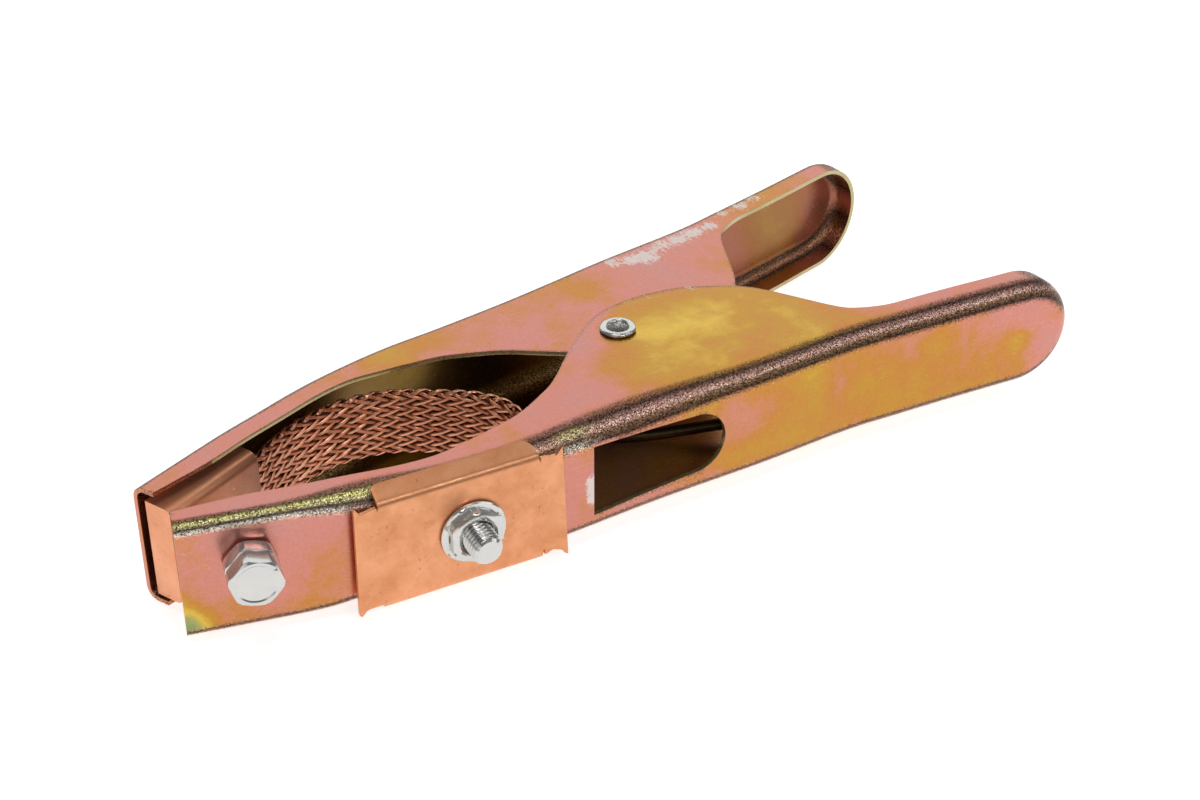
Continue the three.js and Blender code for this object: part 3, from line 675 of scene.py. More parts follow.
# %% Copper sheet
def make_copper(name, clean, brown, tarnish, shine):
    material, tree, shader = new_material(name)
    wide = placed_group(tree, CLOUDS, {"Size": 70.0, "Low": 0.36, "High": 0.62, "Seed": 7.0})
    small = placed_group(tree, CLOUDS, {"Size": 320.0, "Low": 0.4, "High": 0.66, "Seed": 2.0})
    dull = times(tree, times_plus(tree, small["Mask"], 0.5, wide["Mask"]), tarnish)
    colour = blended(tree, times(tree, dull, 0.8, clamp=True), clean, brown)
    speck, pits = ranged(tree, small["Fine"], 0.60, 0.70), ranged(tree, wide["Fine"], 0.64, 0.69)
    for spots, amount, shade in ((speck, 0.6, 0.45), (pits, 0.5, 0.5)):
        darker = tuple(c * shade for c in brown)
        colour = blended(tree, times(tree, spots, amount), colour, darker)
    # painted shade on the cups' faces
    colour = blended(tree, painted(tree, "painted_face_shade"), colour, (0.22, 0.08, 0.05))
    marks = placed_group(tree, SCRATCHES, {"Size": 90.0, "Amount": 0.5})["Mask"]
    colour = blended(tree, marks, colour, (0.95, 0.62, 0.42))
    rough = times_plus(tree, dull, 0.12, times_plus(tree, wide["Fine"], 0.2, shine))
    grain = placed_group(tree, GRAIN, {"Size": 1500.0})["Height"]
    relief = maths(tree, "SUBTRACT", times(tree, grain, 0.4), times(tree, speck, 0.5))
    surfaced(tree, shader, colour, rough, 0.78, relief, 0.3, 0.0002)
    return material


SADDLE_COPPER = make_copper("saddle_copper", (0.94, 0.43, 0.22), (0.76, 0.31, 0.13), 0.75, 0.22)
CUP_COPPER = make_copper("cup_copper", (1.0, 0.47, 0.26), (0.84, 0.34, 0.17), 0.5, 0.28)
print("finishes:", SADDLE_COPPER.name, CUP_COPPER.name)

# %% [markdown]
# ## Braid wire, bright zinc and spring steel
#
# Each strand of the braid is a flat bundle of fine wires. The bundle is modelled and the wires are
# drawn across it from its UV map, where U runs across the bundle. Each bundle has a tone of its own,
# and the bundles that wind one way get painted shade, darker and browner than the others. "sunk" says
# how deep a point lies below the bundles that cross it, where hardly any light comes, and paints shade
# there. Screws and nuts are bright zinc, nearly colourless, and darker in the thread's valleys. The
# spring is dark drawn wire with lines along it, drawn from the UV map that the curve had.

# %% Wire, zinc and spring finishes
WIRES_PER_BUNDLE = 5


def make_braid_copper():
    material, tree, shader = new_material("braid_copper")
    across = add(tree, "SeparateXYZ", {0: add(tree, "UVMap", uv_map="strand").outputs[0]}).outputs["X"]
    waves = times(tree, across, math.pi * WIRES_PER_BUNDLE)
    wires = maths(tree, "ABSOLUTE", maths(tree, "SINE", waves))
    cloud = placed_group(tree, CLOUDS, {"Size": 150.0})
    # a random tone per bundle, and painted shade on the bundles that wind one way
    tone_and_shade = times(tree, painted(tree, "tone_and_shade"), 0.75)
    browner_and_shaded = times_plus(tree, cloud["Mask"], 0.25, tone_and_shade)
    colour = blended(tree, browner_and_shaded, (1.0, 0.50, 0.31), (0.42, 0.12, 0.05))
    # painted shade where a bundle lies sunk under those that cross it
    deep = ranged(tree, painted(tree, "sunk"), 0.5, 0.88, 0.0, 0.95)
    colour = blended(tree, deep, colour, (0.03, 0.01, 0.005))
    colour = blended(tree, ranged(tree, wires, 0.0, 0.3, 0.4, 0.0), colour, (0.30, 0.10, 0.05))
    rough = times_plus(tree, cloud["Fine"], 0.2, 0.10)
    surfaced(tree, shader, colour, rough, 0.9, wires, 0.35, 0.0001)
    return material


def make_zinc():
    material, tree, shader = new_material("bright_zinc")
    wide = placed_group(tree, CLOUDS, {"Size": 180.0, "Low": 0.3, "High": 0.7, "Seed": 5.0})
    colour = blended(tree, wide["Mask"], (0.70, 0.71, 0.70), (0.78, 0.76, 0.71))
    colour = blended(tree, ranged(tree, wide["Fine"], 0.6, 0.75, 0.0, 0.5), colour, (0.5, 0.5, 0.5))
    # darker in the thread's valleys
    valley_darkening = times(tree, painted(tree, "valley"), 0.9)
    colour = blended(tree, valley_darkening, colour, (0.10, 0.08, 0.07))
    marks = placed_group(tree, SCRATCHES, {"Size": 200.0, "Amount": 0.5})["Mask"]
    colour = blended(tree, marks, colour, (0.9, 0.9, 0.9))
    rough = times_plus(tree, wide["Fine"], 0.16, 0.09)
    grain = placed_group(tree, GRAIN, {"Size": 1800.0})["Height"]
    surfaced(tree, shader, colour, rough, 0.72, grain, 0.15, 0.0001)
    return material


def make_spring_steel():
    material, tree, shader = new_material("spring_steel")
    cloud = placed_group(tree, CLOUDS, {"Size": 200.0})
    along = add(tree, "SeparateXYZ", {0: add(tree, "UVMap", uv_map="wire").outputs[0]})
    stretched = add(tree, "CombineXYZ", {"X": times(tree, along.outputs["X"], 60.0),
                                         "Y": times(tree, along.outputs["Y"], 2.0)}).outputs[0]
    drawn_lines = noisy(tree, stretched, 1.0, 2.0)
    colour = blended(tree, cloud["Mask"], (0.10, 0.075, 0.04), (0.16, 0.12, 0.06))
    colour = blended(tree, ranged(tree, cloud["Fine"], 0.6, 0.8), colour, (0.16, 0.10, 0.06))
    rough = times_plus(tree, drawn_lines, 0.3, 0.22)
    surfaced(tree, shader, colour, rough, 0.95, drawn_lines, 0.3, 0.0001)
    return material


BRAID_COPPER, ZINC, SPRING_STEEL = make_braid_copper(), make_zinc(), make_spring_steel()
print("finishes:", BRAID_COPPER.name, ZINC.name, SPRING_STEEL.name)

# %% [markdown]
# ## The two arms
#
# An arm is one deep pressing, like a narrow tray: a web, a bend all round it, and two flanges that
# lap those of the other arm. The blank runs round the tray from the nose along the top, round the
# handle's end and back along the bottom. Its rows run from the free edge over the flange and the
# bend to the middle of the web, where the two halves meet. The bend is tight at the nose and opens
# at the shoulder. The jaw end is bisected at an angle, and slot and holes are cut through the
# finished sheet.

# %% Press one arm
NOSE_BEND, TOP_BEND, LESS_BELOW = 3.6, 5.8, 1.4
BEND_OPENS = (-109.2, -89.5)  # from the nose's tight bend to the full one
SWELLINGS = [(-84, 9, 0.9), (-20, 22, 1.8)]  # middle, width and height, along the top only


def bend_radius(x, way):
    """The outside of the bend; way is 0 along the top, 1 along the bottom and between them round the end."""
    swollen = sum(height * np.exp(-((x - middle) / width) ** 2) for middle, width, height in SWELLINGS)
    full = TOP_BEND - LESS_BELOW * way + swollen * (1 - way)
    return NOSE_BEND + (full - NOSE_BEND) * eased(x, *BEND_OPENS)


NOSE_START = -137.0  # the blank starts past the nose, which is trimmed later
HANDLE_CENTRE = HANDLE_LENGTH - ARM_HEIGHT / 2
STRAIGHT = HANDLE_CENTRE - NOSE_START
ROUND = math.pi * ARM_HEIGHT / 2
AROUND = STRAIGHT * 2 + ROUND

# the front nose hangs lower and the rear one stands higher, each from one place on the arm to another
FRONT_NOSE = (1.4, -0.76 * NOSE_LENGTH, -0.66 * NOSE_LENGTH)
REAR_NOSE = (1.5, -0.8 * NOSE_LENGTH, -0.19 * NOSE_LENGTH)


def arm_point(around, down, nose):
    """Where the blank's point at one length round the tray and one row goes."""
    middle = ARM_HEIGHT / 2
    from_nose = min(around, AROUND - around)
    x = NOSE_START + min(from_nose, STRAIGHT)
    way = min(max((around - STRAIGHT) / ROUND, 0), 1)
    radius = float(bend_radius(x, way))
    angle = math.pi / 2 * (1 - min(max(down - 1, 0), 1))
    inset = radius * (1 - math.sin(angle))
    if down > 2:
        inset = radius + (middle - radius) * (down - 2)
    turn = math.pi / 2
    if from_nose > STRAIGHT:
        turn -= way * math.pi
        x = HANDLE_CENTRE + (middle - inset) * math.cos(turn)
        z = middle + (middle - inset) * math.sin(turn)
    else:
        z = ARM_HEIGHT - inset if around < AROUND / 2 else inset
        drop = nose[0] * (1 - float(eased(x, nose[1], nose[2])))
        if around > AROUND / 2:
            z -= drop * (1 - max(down - 2, 0) / 2)
        else:
            z -= drop * max(down - 2, 0) / 2
    y = float(web_at(x)) + radius * (1 - math.cos(angle))
    if down < 1:
        y = float(free_at(x)) * (1 - down) + y * down
    return x, y, z


ARM_COLUMNS = list(np.linspace(0, AROUND, 361))
ARM_ROWS = list(np.linspace(0, 1, 13)) + [1 + i / 10 for i in range(1, 11)] + [2 + i / 4 for i in range(1, 5)]
NOSE_CUT = math.radians(-22)


def press_arm(name, nose):
    arm = pressed(name, ARM_COLUMNS, ARM_ROWS, lambda around, down: arm_point(around, down, nose))
    take_all(arm)
    bpy.ops.mesh.remove_doubles(threshold=2 * DOUBLED)
    bpy.ops.mesh.select_all(action="SELECT")
    end = Vector((-NOSE_LENGTH, float(web_at(-NOSE_LENGTH)), 0)) * MM
    bpy.ops.mesh.bisect(plane_co=end, plane_no=(math.cos(NOSE_CUT), math.sin(NOSE_CUT), 0), clear_inner=True)
    put_down()
    face_out(arm, Vector((0, -1, 0)), lambda centre: abs(centre.z / MM - ARM_HEIGHT / 2) < 3)
    return thicken(arm, SHEET, [PASSIVATED, CUT_EDGE])


ARM = press_arm("arm_front", FRONT_NOSE)
REAR_ARM = press_arm("arm_rear", REAR_NOSE)
report(ARM)

# %% [markdown]
# Only the front arm takes the cable. Its slot is square at the jaw end and round at the other, so the
# cutter is a bar and a plate wrapped in one hull. The rivet's hole goes through both flanges, and the
# bolt holes through the web. Every cut face takes the material of the cut edge.

# %% Slot and holes
SLOT_START, SLOT_END, SLOT_HEIGHT, SLOT_ROUND, SLOT_MIDDLE = -31.3, 7.6, 20.2, 8.6, 15.35
BOLT_HOLE, RIVET_HOLE = 4.3, 4.1  # radii
STAMPED_EDGE = 0.22


def as_cutter(tool):
    """The wall that a tool leaves takes the tool's second material, the cut edge."""
    for material in (PASSIVATED, CUT_EDGE):
        tool.data.materials.append(material)
    for face in tool.data.polygons:
        face.material_index = 1
    return tool


def slot_cutter():
    """A bar for the slot's round end and a thin slab for its square end, wrapped into one tool."""
    deep, near = 34, -WEB_REACH - 12
    round_end = bar("slot_round", SLOT_ROUND, near, near + deep, 64)
    round_end.data.transform(Matrix.Translation(Vector((SLOT_END - SLOT_ROUND, 0, SLOT_MIDDLE)) * MM))
    tool = slab("slot_square", (SLOT_START + 0.5, near + deep / 2, SLOT_MIDDLE), (1, deep, SLOT_HEIGHT))
    round_end.select_set(True)
    bpy.ops.object.join()
    take_all(tool)
    bpy.ops.mesh.convex_hull()
    put_down()
    return as_cutter(tool)


JAW_BOLT = web_place(-0.882 * NOSE_LENGTH, 0.595 * ARM_HEIGHT)
SADDLE_X = -0.5132 * NOSE_LENGTH
SADDLE_TURN = math.radians(-9)
SADDLE = placed(SADDLE_X, float(web_at(SADDLE_X)), 0, SADDLE_TURN, math.radians(-1.1))
STUD_X = -0.497 * NOSE_LENGTH
STUD_Y = float(web_at(SADDLE_X)) + (STUD_X - SADDLE_X) * math.tan(SADDLE_TURN)
STUD = placed(STUD_X, STUD_Y, 0.468 * ARM_HEIGHT, SADDLE_TURN)


def bolt_hole(place):
    """The arm is still on the drawing, so the hole's place is taken back to it."""
    tool = bar("bolt_hole", BOLT_HOLE, -4, 10)
    return as_cutter(carry(tool, placed(0, 0, 0).inverted() @ place))


cut_with(ARM, slot_cutter())
cut_with(ARM, bolt_hole(STUD))
for arm in (ARM, REAR_ARM):
    rivet_hole = carry(bar("rivet_hole", RIVET_HOLE, -40, 40, 64), Matrix.Rotation(math.pi / 2, 4, "X"))
    cut_with(arm, as_cutter(rivet_hole))
    cut_with(arm, bolt_hole(JAW_BOLT))
    break_edges(arm, STAMPED_EDGE, material=1)
    smooth(arm, 35)
    report(arm)

# %% [markdown]
# The film's colours are painted in broad patches, each a place, a size and a thickness of film. The
# patches follow the real clamp: gold in the middle of the lobes and along the web of the handles,
# pink on the flanges near the nose and along the arms, thick and green at a few corners. The rubbed
# places lie along the rear arm's upper edge and beside the slot. The skins that look into the tray,
# which take painted shade, are found by their normals, and so is the turn over the bend, which sets
# its painted reflection.

# %% Paint film, wear and tilt
# each patch: its place from the pivot, its radius, and the film's thickness or the amount
FRONT_PATCHES = [
    ((8, -8, 31), 22, 0.82), ((30, -14, 31), 24, 0.80), ((50, -25, 31), 18, 0.60),
    ((-36, -12, 31), 14, 0.28), ((-6, 8, 31), 8, 0.02), ((2, 14, 31), 6, 0.20),
    ((20, 12, 31), 7, 0.34), ((-27, -34, 15), 7, 0.06), ((-22, -35, 6), 6, 0.30),
    ((-14, 2, 31), 8, 0.04), ((-75, -20, 31), 30, 0.26), ((-120, -6, 31), 22, 0.30),
    ((75, -40, 31), 30, 0.26), ((105, -44, 31), 16, 0.20), ((-115, -14, 20), 22, 0.28),
    ((-97, -20, 8), 12, 0.46), ((-92, -22, 20), 8, 0.48), ((-132, -8, 1), 7, 1.3),
    ((-131, -9, 4), 5, 1.3), ((-134, -8, 10), 3.5, 1.3), ((14, -36, 18), 9, 0.22),
    ((18, -36, 4), 12, 0.56), ((45, -38, 16), 24, 0.56), ((75, -44, 14), 24, 0.62),
    ((92, -46, 8), 12, 0.66), ((99, -47, 15), 5, 0.98), ((113, -48, 14), 12, 0.26),
    ((-40, -33, 15), 8, 0.24), ((20, -38, 24), 12, 0.44),
]
REAR_PATCHES = [
    ((-120, 8, 30), 20, 0.28), ((-95, 16, 30), 24, 0.34), ((-72, 24, 30), 14, 0.34),
    ((-54, 30, 30), 9, 0.66), ((-38, 30, 30), 12, 0.50), ((-20, 25, 30), 18, 0.34),
    ((0, 24, 30), 16, 0.46), ((25, 24, 30), 22, 0.24), ((72, 38, 30), 14, 0.56),
    ((90, 40, 15), 14, 0.80), ((70, 36, 15), 18, 0.46), ((110, 44, 15), 10, 0.34),
]
FRONT_WORN = [
    ((-31.8, -33, 16), 2.2, 1.3), ((-31.8, -33, 13.2), 2.0, 1.0), ((-31.8, -33, 10.5), 2.2, 1.2),
    ((18, 2, 31), 8, 0.2), ((10, 12.6, 31), 2.2, 1.1), ((15.5, 11.6, 31), 1.8, 1.2),
    ((21, 11.2, 31), 1.6, 1.1), ((28.5, 7.4, 31), 2.0, 1.2),
]
REAR_WORN = [
    ((14, 32.5, 30), 2.5, 0.35), ((21, 31.2, 30), 4.2, 0.75), ((26, 29.4, 30), 3.6, 0.7),
    ((31, 28.6, 30), 5.2, 0.95), ((38, 31.4, 30), 4.4, 0.75), ((44, 31.2, 30), 4.4, 0.85),
    ((50, 31.8, 30), 4.4, 0.8), ((56, 32.4, 30), 3.6, 0.8), ((63, 35.8, 30), 3.2, 0.7),
    ((70, 36.4, 30), 4.2, 0.8), ((77, 38.0, 30), 3.8, 0.65), ((84, 40.4, 30), 2.4, 0.3),
]
# where the painted reflection on the bend is green: along the nose, beside the saddle as a painted
# glint, and at one place on the rear handle
FRONT_GREEN = [((x, -14 - (x + 130) * 0.18, 27), 12, 1.0) for x in range(-134, -60, 9)]
FRONT_GREEN.append(((-36, -31, 27), 6, 1.0))
REAR_GREEN = [((80, 40, 28), 14, 0.7)]

COMMON_FILM, COMMON_WEIGHT = 0.4, 0.35  # the film away from all patches, and its weight among them
FADE = 1.6
# stretches of the arm: where the tray's shade begins, where the handle's does, the floor by the slot
SHADE_FROM, HANDLE_FROM, LIT_FROM, LIT_TO = (-126, -112), (40, 62), (-44, -32), (8, 24)
SHADE, FLOOR_SHADE = 0.5, 0.22
REAR_NOSE_END = -112


def nearness(piece, place, radius):
    """For every point of the piece: 1 in the middle of a patch and fading out round it."""
    offset = (points_of(piece) - np.array(PIVOT + Vector(place) * MM)) / (radius * MM)
    return np.exp(-(offset ** 2).sum(1) * FADE)


def paint_film(arm, patches):
    """The mean of the patches, weighted by how near they are."""
    total, value = COMMON_WEIGHT, COMMON_FILM * COMMON_WEIGHT
    for place, radius, film in patches:
        near = nearness(arm, place, radius)
        total, value = total + near, value + near * film
    write_values(arm, "film", value / total)


def paint_spots(arm, name, spots):
    """Spots add up where they meet."""
    value = sum(nearness(arm, place, radius) * amount for place, radius, amount in spots)
    write_values(arm, name, np.clip(value, 0, 1))


def paint_inside(arm):
    """
    Inside, the share of painted shade, is 0.5 on the skins that look into the tray, less on its floor
    and at the nose, rising to 1 in the handle. Lit is 1 on the floor behind the slot. The arm is still
    on the drawing here.
    """
    inside, lit = [], []
    for vertex in arm.data.vertices:
        at = vertex.co / MM
        middle = Vector((min(at.x, HANDLE_CENTRE), float(web_at(at.x)) + 8, ARM_HEIGHT / 2))
        looks_in = vertex.normal.dot((middle - at).normalized()) > 0.12
        on_floor = vertex.normal.z > 0.7
        shade = (FLOOR_SHADE if on_floor else SHADE) * float(eased(at.x, *SHADE_FROM))
        inside.append((shade + (1 - shade) * float(eased(at.x, *HANDLE_FROM))) * looks_in)
        behind_slot = float(eased(at.x, *LIT_FROM) - eased(at.x, *LIT_TO))
        lit.append(behind_slot * looks_in * on_floor)
    write_values(arm, "inside", inside)
    write_values(arm, "lit", lit)


def paint_tilt(arm):
    """How far a point's skin has turned from flange to web: 0 lies level and 1 stands upright."""
    normal = np.array([vertex.normal for vertex in arm.data.vertices])
    turn = np.arctan2(np.hypot(normal[:, 0], normal[:, 1]), np.abs(normal[:, 2]))
    write_values(arm, "tilt", turn / (math.pi / 2))


# the rear nose shows no bare edge: the bath has coloured it like the skin
for face in REAR_ARM.data.polygons:
    if face.center.x < REAR_NOSE_END * MM:
        face.material_index = 0
for arm in (ARM, REAR_ARM):
    paint_inside(arm)
carry(ARM, placed(0, 0, 0))
carry(REAR_ARM, TO_REAR @ placed(0, 0, 0))
for arm, patches, worn, green in ((ARM, FRONT_PATCHES, FRONT_WORN, FRONT_GREEN),
                                  (REAR_ARM, REAR_PATCHES, REAR_WORN, REAR_GREEN)):
    paint_film(arm, patches)
    paint_spots(arm, "worn", worn)
    paint_spots(arm, "green", green)
    paint_tilt(arm)
for arm, node, body in ((ARM, "front_arm", "front"), (REAR_ARM, "rear_arm", "rear")):
    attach(arm, body)
    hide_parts(node)

# %% [markdown]
# ## The copper saddle
#
# The saddle is a plate hooked over the arm's upper bend and folded under it, held by the stud's
# flange nut. Its corners are notched so that only the middle folds: the lower corners hang down as
# small ears, which the shears have pulled to a point on one side and to a bead on the other. It is a
# pressed sheet too, with its columns set where the notches are.

# %% Press the saddle
COPPER_SHEET = 1.0
FACE = -0.3 - COPPER_SHEET  # the plate's outside, with a little air between plate and arm
TAB_ANGLE = math.radians(62)
TAB_TOP = ARM_HEIGHT - TOP_BEND + 7.1 * math.tan(TAB_ANGLE / 2)  # where face and tab would meet
TAB_FOLD, TAB_WIDE, TAB_HALF = 2.3, 5.1, 20.7
LOW_FOLD, LOW_BOTTOM, LOW_TAB = 3.8, -1.7, 3.9
# on each side a notch parts the folds in the middle from the flat corner outside it
FOLDED, CORNER, CORNER_WIDE = 20.55, 20.95, 5.6
CORNER_TOP, HORN_FROM = 28.95, 0.72
NOTCH_MIDDLE = (FOLDED + CORNER) / 2


def span(start, end, count):
    return list(np.linspace(start, end, count))


SADDLE_COLUMNS = span(-26.5, -CORNER, 12) + span(-FOLDED, FOLDED, 60) + span(CORNER, 26.7, 14)
SADDLE_ROWS = (span(0, 1, 4) + [1 + i / 10 for i in range(1, 11)] + [2 + i / 16 for i in range(1, 17)]
               + [3 + i / 16 for i in range(1, 9)] + [3.5 + i / 8 for i in range(1, 5)])


def ear_bottom(x):
    """The sheared lower edge of a corner: it runs out in a point at the left and a bead at the right."""
    if x < 0:
        return 1.0 - 1.6 * math.exp(-((x + 26.0) / 0.75) ** 2)
    return 0.5 + 0.75 * math.exp(-((x - 23.0) / 1.2) ** 2) - 1.85 / (1 + math.exp(-(x - 25.6) * 4))


def corner_top(x):
    """The upper edge of a corner, which the shears have pulled up to a small horn at its outer end."""
    outer = (abs(x) - CORNER) / CORNER_WIDE
    horn = (1.9 if x < 0 else 1.6) * max(outer - HORN_FROM, 0) / (1 - HORN_FROM)
    return CORNER_TOP + 0.25 * math.cos(outer * 5) + horn


def saddle_point(x, row):
    """
    Rows run 0 to 1 under the arm, 1 to 2 round the lower fold, 2 to 3 up the face, 3 to 3.5 round the
    upper fold and on to 4 along the tab.
    """
    low = LOW_BOTTOM + LOW_FOLD
    wobble = 0.13 * noise.noise(Vector((x * 0.35, 0, 3))) + 0.07 * noise.noise(Vector((x * 1.3, 5, 0)))
    start = TAB_TOP - TAB_FOLD * math.tan(TAB_ANGLE / 2)
    if abs(x) > NOTCH_MIDDLE:
        bottom, top = ear_bottom(x) + wobble, corner_top(x) + wobble * 0.6
        z = float(np.interp(row, range(5), [bottom, bottom, low, top - 0.8, top]))
        flare = 1 + (0.038 if x < 0 else 0.018) * (1 - z / 29) * (abs(x) - CORNER) / CORNER_WIDE
        return x * flare, FACE, z
    if row <= 1:
        return x, FACE + LOW_FOLD + LOW_TAB * (1 - row), LOW_BOTTOM
    if row <= 2:
        turn = math.pi / 2 * (row - 1)
        return x, FACE + LOW_FOLD * (1 - math.sin(turn)), low - LOW_FOLD * math.cos(turn)
    if row <= 3:
        return x, FACE, low + (start - low) * (row - 2)
    along = (row - 3) * 2
    if along <= 1:
        turn = TAB_ANGLE * along
        return x, FACE + TAB_FOLD * (1 - math.cos(turn)), start + TAB_FOLD * math.sin(turn)
    # the tab's corners are rounded, the one next to the pivot more
    rounded, tight = (3.2, 0.32) if x > 0 else (1.6, 0.5)
    short = max(abs(x) - (TAB_HALF - rounded), 0) ** 2 * tight
    run = (TAB_WIDE - TAB_FOLD * math.tan(TAB_ANGLE / 2) + 0.35 - short + wobble) * (along - 1)
    return (x, FACE + TAB_FOLD * (1 - math.cos(TAB_ANGLE)) + run * math.sin(TAB_ANGLE),
            start + TAB_FOLD * math.sin(TAB_ANGLE) + run * math.cos(TAB_ANGLE))


def delete_faces(piece, test):
    """The test gets the middle of a face, in millimetres."""
    select_in(piece, "FACE", lambda face: test(face.calc_center_median() / MM))
    bpy.ops.mesh.delete(type="FACE")
    bpy.ops.mesh.select_mode(type="VERT")
    put_down()


def press_saddle():
    plate = pressed("copper_saddle", SADDLE_COLUMNS, SADDLE_ROWS, saddle_point)
    in_notch = lambda at: FOLDED < abs(at.x) < CORNER and (at.z < 2.2 or at.z > 28.2)
    off_corner = lambda at: abs(at.x) > 20.9 and (at.y > -1.2 or at.z < -9)
    delete_faces(plate, lambda at: in_notch(at) or off_corner(at))
    take_all(plate)
    bpy.ops.mesh.remove_doubles(threshold=DOUBLED)
    bpy.ops.mesh.delete_loose()
    put_down()
    face_out(plate, Vector((0, -1, 0)), lambda centre: abs(centre.z / MM - 14) < 8)
    thicken(plate, COPPER_SHEET, [SADDLE_COPPER])
    hole = bar("stud_hole", BOLT_HOLE, -4, 4)
    cut_with(plate, carry(hole, SADDLE.inverted() @ STUD))
    break_edges(plate, STAMPED_EDGE, 3)
    smooth(plate, 40)
    return carry(plate, SADDLE)


saddle = press_saddle()
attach(saddle, "front")
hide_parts("cable_saddle")
report(saddle)

# %% [markdown]
# ## The jaw contacts
#
# Each jaw is lined by a copper cup: a face towards the other jaw, folded back above, below and at
# the nose, where it is crowned so that the two faces meet on a narrow band. A block of the cup's
# size gets its long edges rounded, its nose bisected three times for the crown, and then its back
# and inner end are taken off so that Solidify can make it a sheet.

# %% Form one cup and its braid pad
CUP_LONG, CUP_TALL, CUP_DEEP, CUP_ROUND = 29.0, 27.2, 8.6, 2.6
CROWN = [(4, 10), (1, 20), (0, 55)]  # how far in from the nose each facet starts, and how it leans
CONTACT_TURN = math.radians(-20)
TIP_Y = 4 * math.sin(math.radians(20)) - 0.9  # with the jaws shut, the crowns almost touch
CONTACT = placed(-0.9666 * NOSE_LENGTH, TIP_Y, 0, CONTACT_TURN)
PAD_START, PAD_THICK, PAD_TALL, PAD_CELLS = 3.6, 2.2, 20, 12


def select_edges(piece, test):
    """The test gets both ends of an edge, in millimetres."""
    select_in(piece, "EDGE", lambda edge: test(*(vertex.co / MM for vertex in edge.verts)))


def form_cup():
    middle = (CUP_LONG / 2, -CUP_DEEP / 2, ARM_HEIGHT / 2)
    cup = slab("jaw_contact_front", middle, (CUP_LONG, CUP_DEEP, CUP_TALL))
    select_edges(cup, lambda a, b: a.y > -0.1 and b.y > -0.1 and abs(a.x - b.x) > 1)
    bpy.ops.mesh.bevel(offset=CUP_ROUND * MM, offset_type="OFFSET", segments=8, affect="EDGES")
    y, before, slope = 0.0, 0, 0.0
    for x, lean in CROWN:
        y -= (before - x) * slope
        turn = math.radians(lean)
        bpy.ops.mesh.select_all(action="SELECT")
        bpy.ops.mesh.bisect(plane_co=Vector((x, y, 0)) * MM, plane_no=(-math.sin(turn), math.cos(turn), 0),
                            clear_outer=True, use_fill=True)
        before, slope = x, math.tan(turn)
    put_down()
    delete_faces(cup, lambda at: at.x > CUP_LONG - 0.05 or at.y < -CUP_DEEP + 0.05)
    face_out(cup, Vector((0, 1, 0)), lambda centre: centre.y > -0.1 * MM)
    thicken(cup, COPPER_SHEET, [CUP_COPPER])
    break_edges(cup, 0.45, 3, 25)
    smooth(cup, 40)
    # painted shade: the face darkens from its nose inwards, deeper in the jaw
    write_values(cup, "painted_face_shade", [0.8 * float(eased(vertex.co.x / MM, 2, 13)) * (vertex.co.y > -1.5 * MM)
                               for vertex in cup.data.vertices])
    return cup


def form_pad():
    """The strap's end, crimped flat, with the crimp's teeth pressed into both faces."""
    middle = ((PAD_START + CUP_LONG) / 2, -1.3 - PAD_THICK / 2, ARM_HEIGHT / 2)
    pad = slab("braid_pad_front", middle, (CUP_LONG - PAD_START, PAD_THICK, PAD_TALL))
    take_all(pad)
    bpy.ops.mesh.subdivide(number_cuts=PAD_CELLS - 1)

    def under_tooth(face):
        at = face.calc_center_median() / MM
        column = int((at.x - PAD_START) / (CUP_LONG - PAD_START) * PAD_CELLS)
        row = int((at.z - (ARM_HEIGHT - PAD_TALL) / 2) / PAD_TALL * PAD_CELLS)
        off_rim = 0 < column < PAD_CELLS - 1 and 0 < row < PAD_CELLS - 1
        return abs(face.normal.y) > 0.9 and (column + row) % 2 == 0 and off_rim

    select_in(pad, "FACE", under_tooth)
    bpy.ops.mesh.inset(thickness=0.25 * MM, depth=-0.2 * MM, use_individual=True)
    put_down()
    pad.data.materials.append(CUP_COPPER)
    break_edges(pad, 0.12, 1, 60)
    return smooth(pad, 30)


def fitted_pair(piece, place, front_name, rear_name, node):
    """Puts one copy on each arm, each with its own mesh, and hides the solids they stand for."""
    twin = copy_of(piece, rear_name)
    piece.name = piece.data.name = front_name
    carry(piece, place)
    carry(twin, TO_REAR @ place)
    for made, side in ((piece, "front"), (twin, "rear")):
        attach(made, side)
        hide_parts(f"{side}_{node}")
    return report(piece)


fitted_pair(form_cup(), CONTACT, "jaw_contact_front", "jaw_contact_rear", "jaw_contact")
fitted_pair(form_pad(), CONTACT, "braid_pad_front_piece", "braid_pad_rear_piece",
            "braid_pad")

# %% [markdown]
# ## Screws and nuts
#
# A screw thread is a ramp wound round a bar. Its bar is a cylinder whose side is cut into many rings
# and whose points are then moved in or out by where they lie on the ramp, which keeps it one closed
# body. The tip's chamfer cuts the thread off at a smaller and smaller radius. Nuts and heads are the
# chamfered hexagons from before, with a bore through the nuts and a shallow dish in the bolt's face.

# %% Thread
PITCH, THREAD_RADIUS, THREAD_DEPTH = 1.25, 4.0, 0.68
CREST, FLANKS = 0.12, 0.76  # shares of the pitch
BORE = 4.15


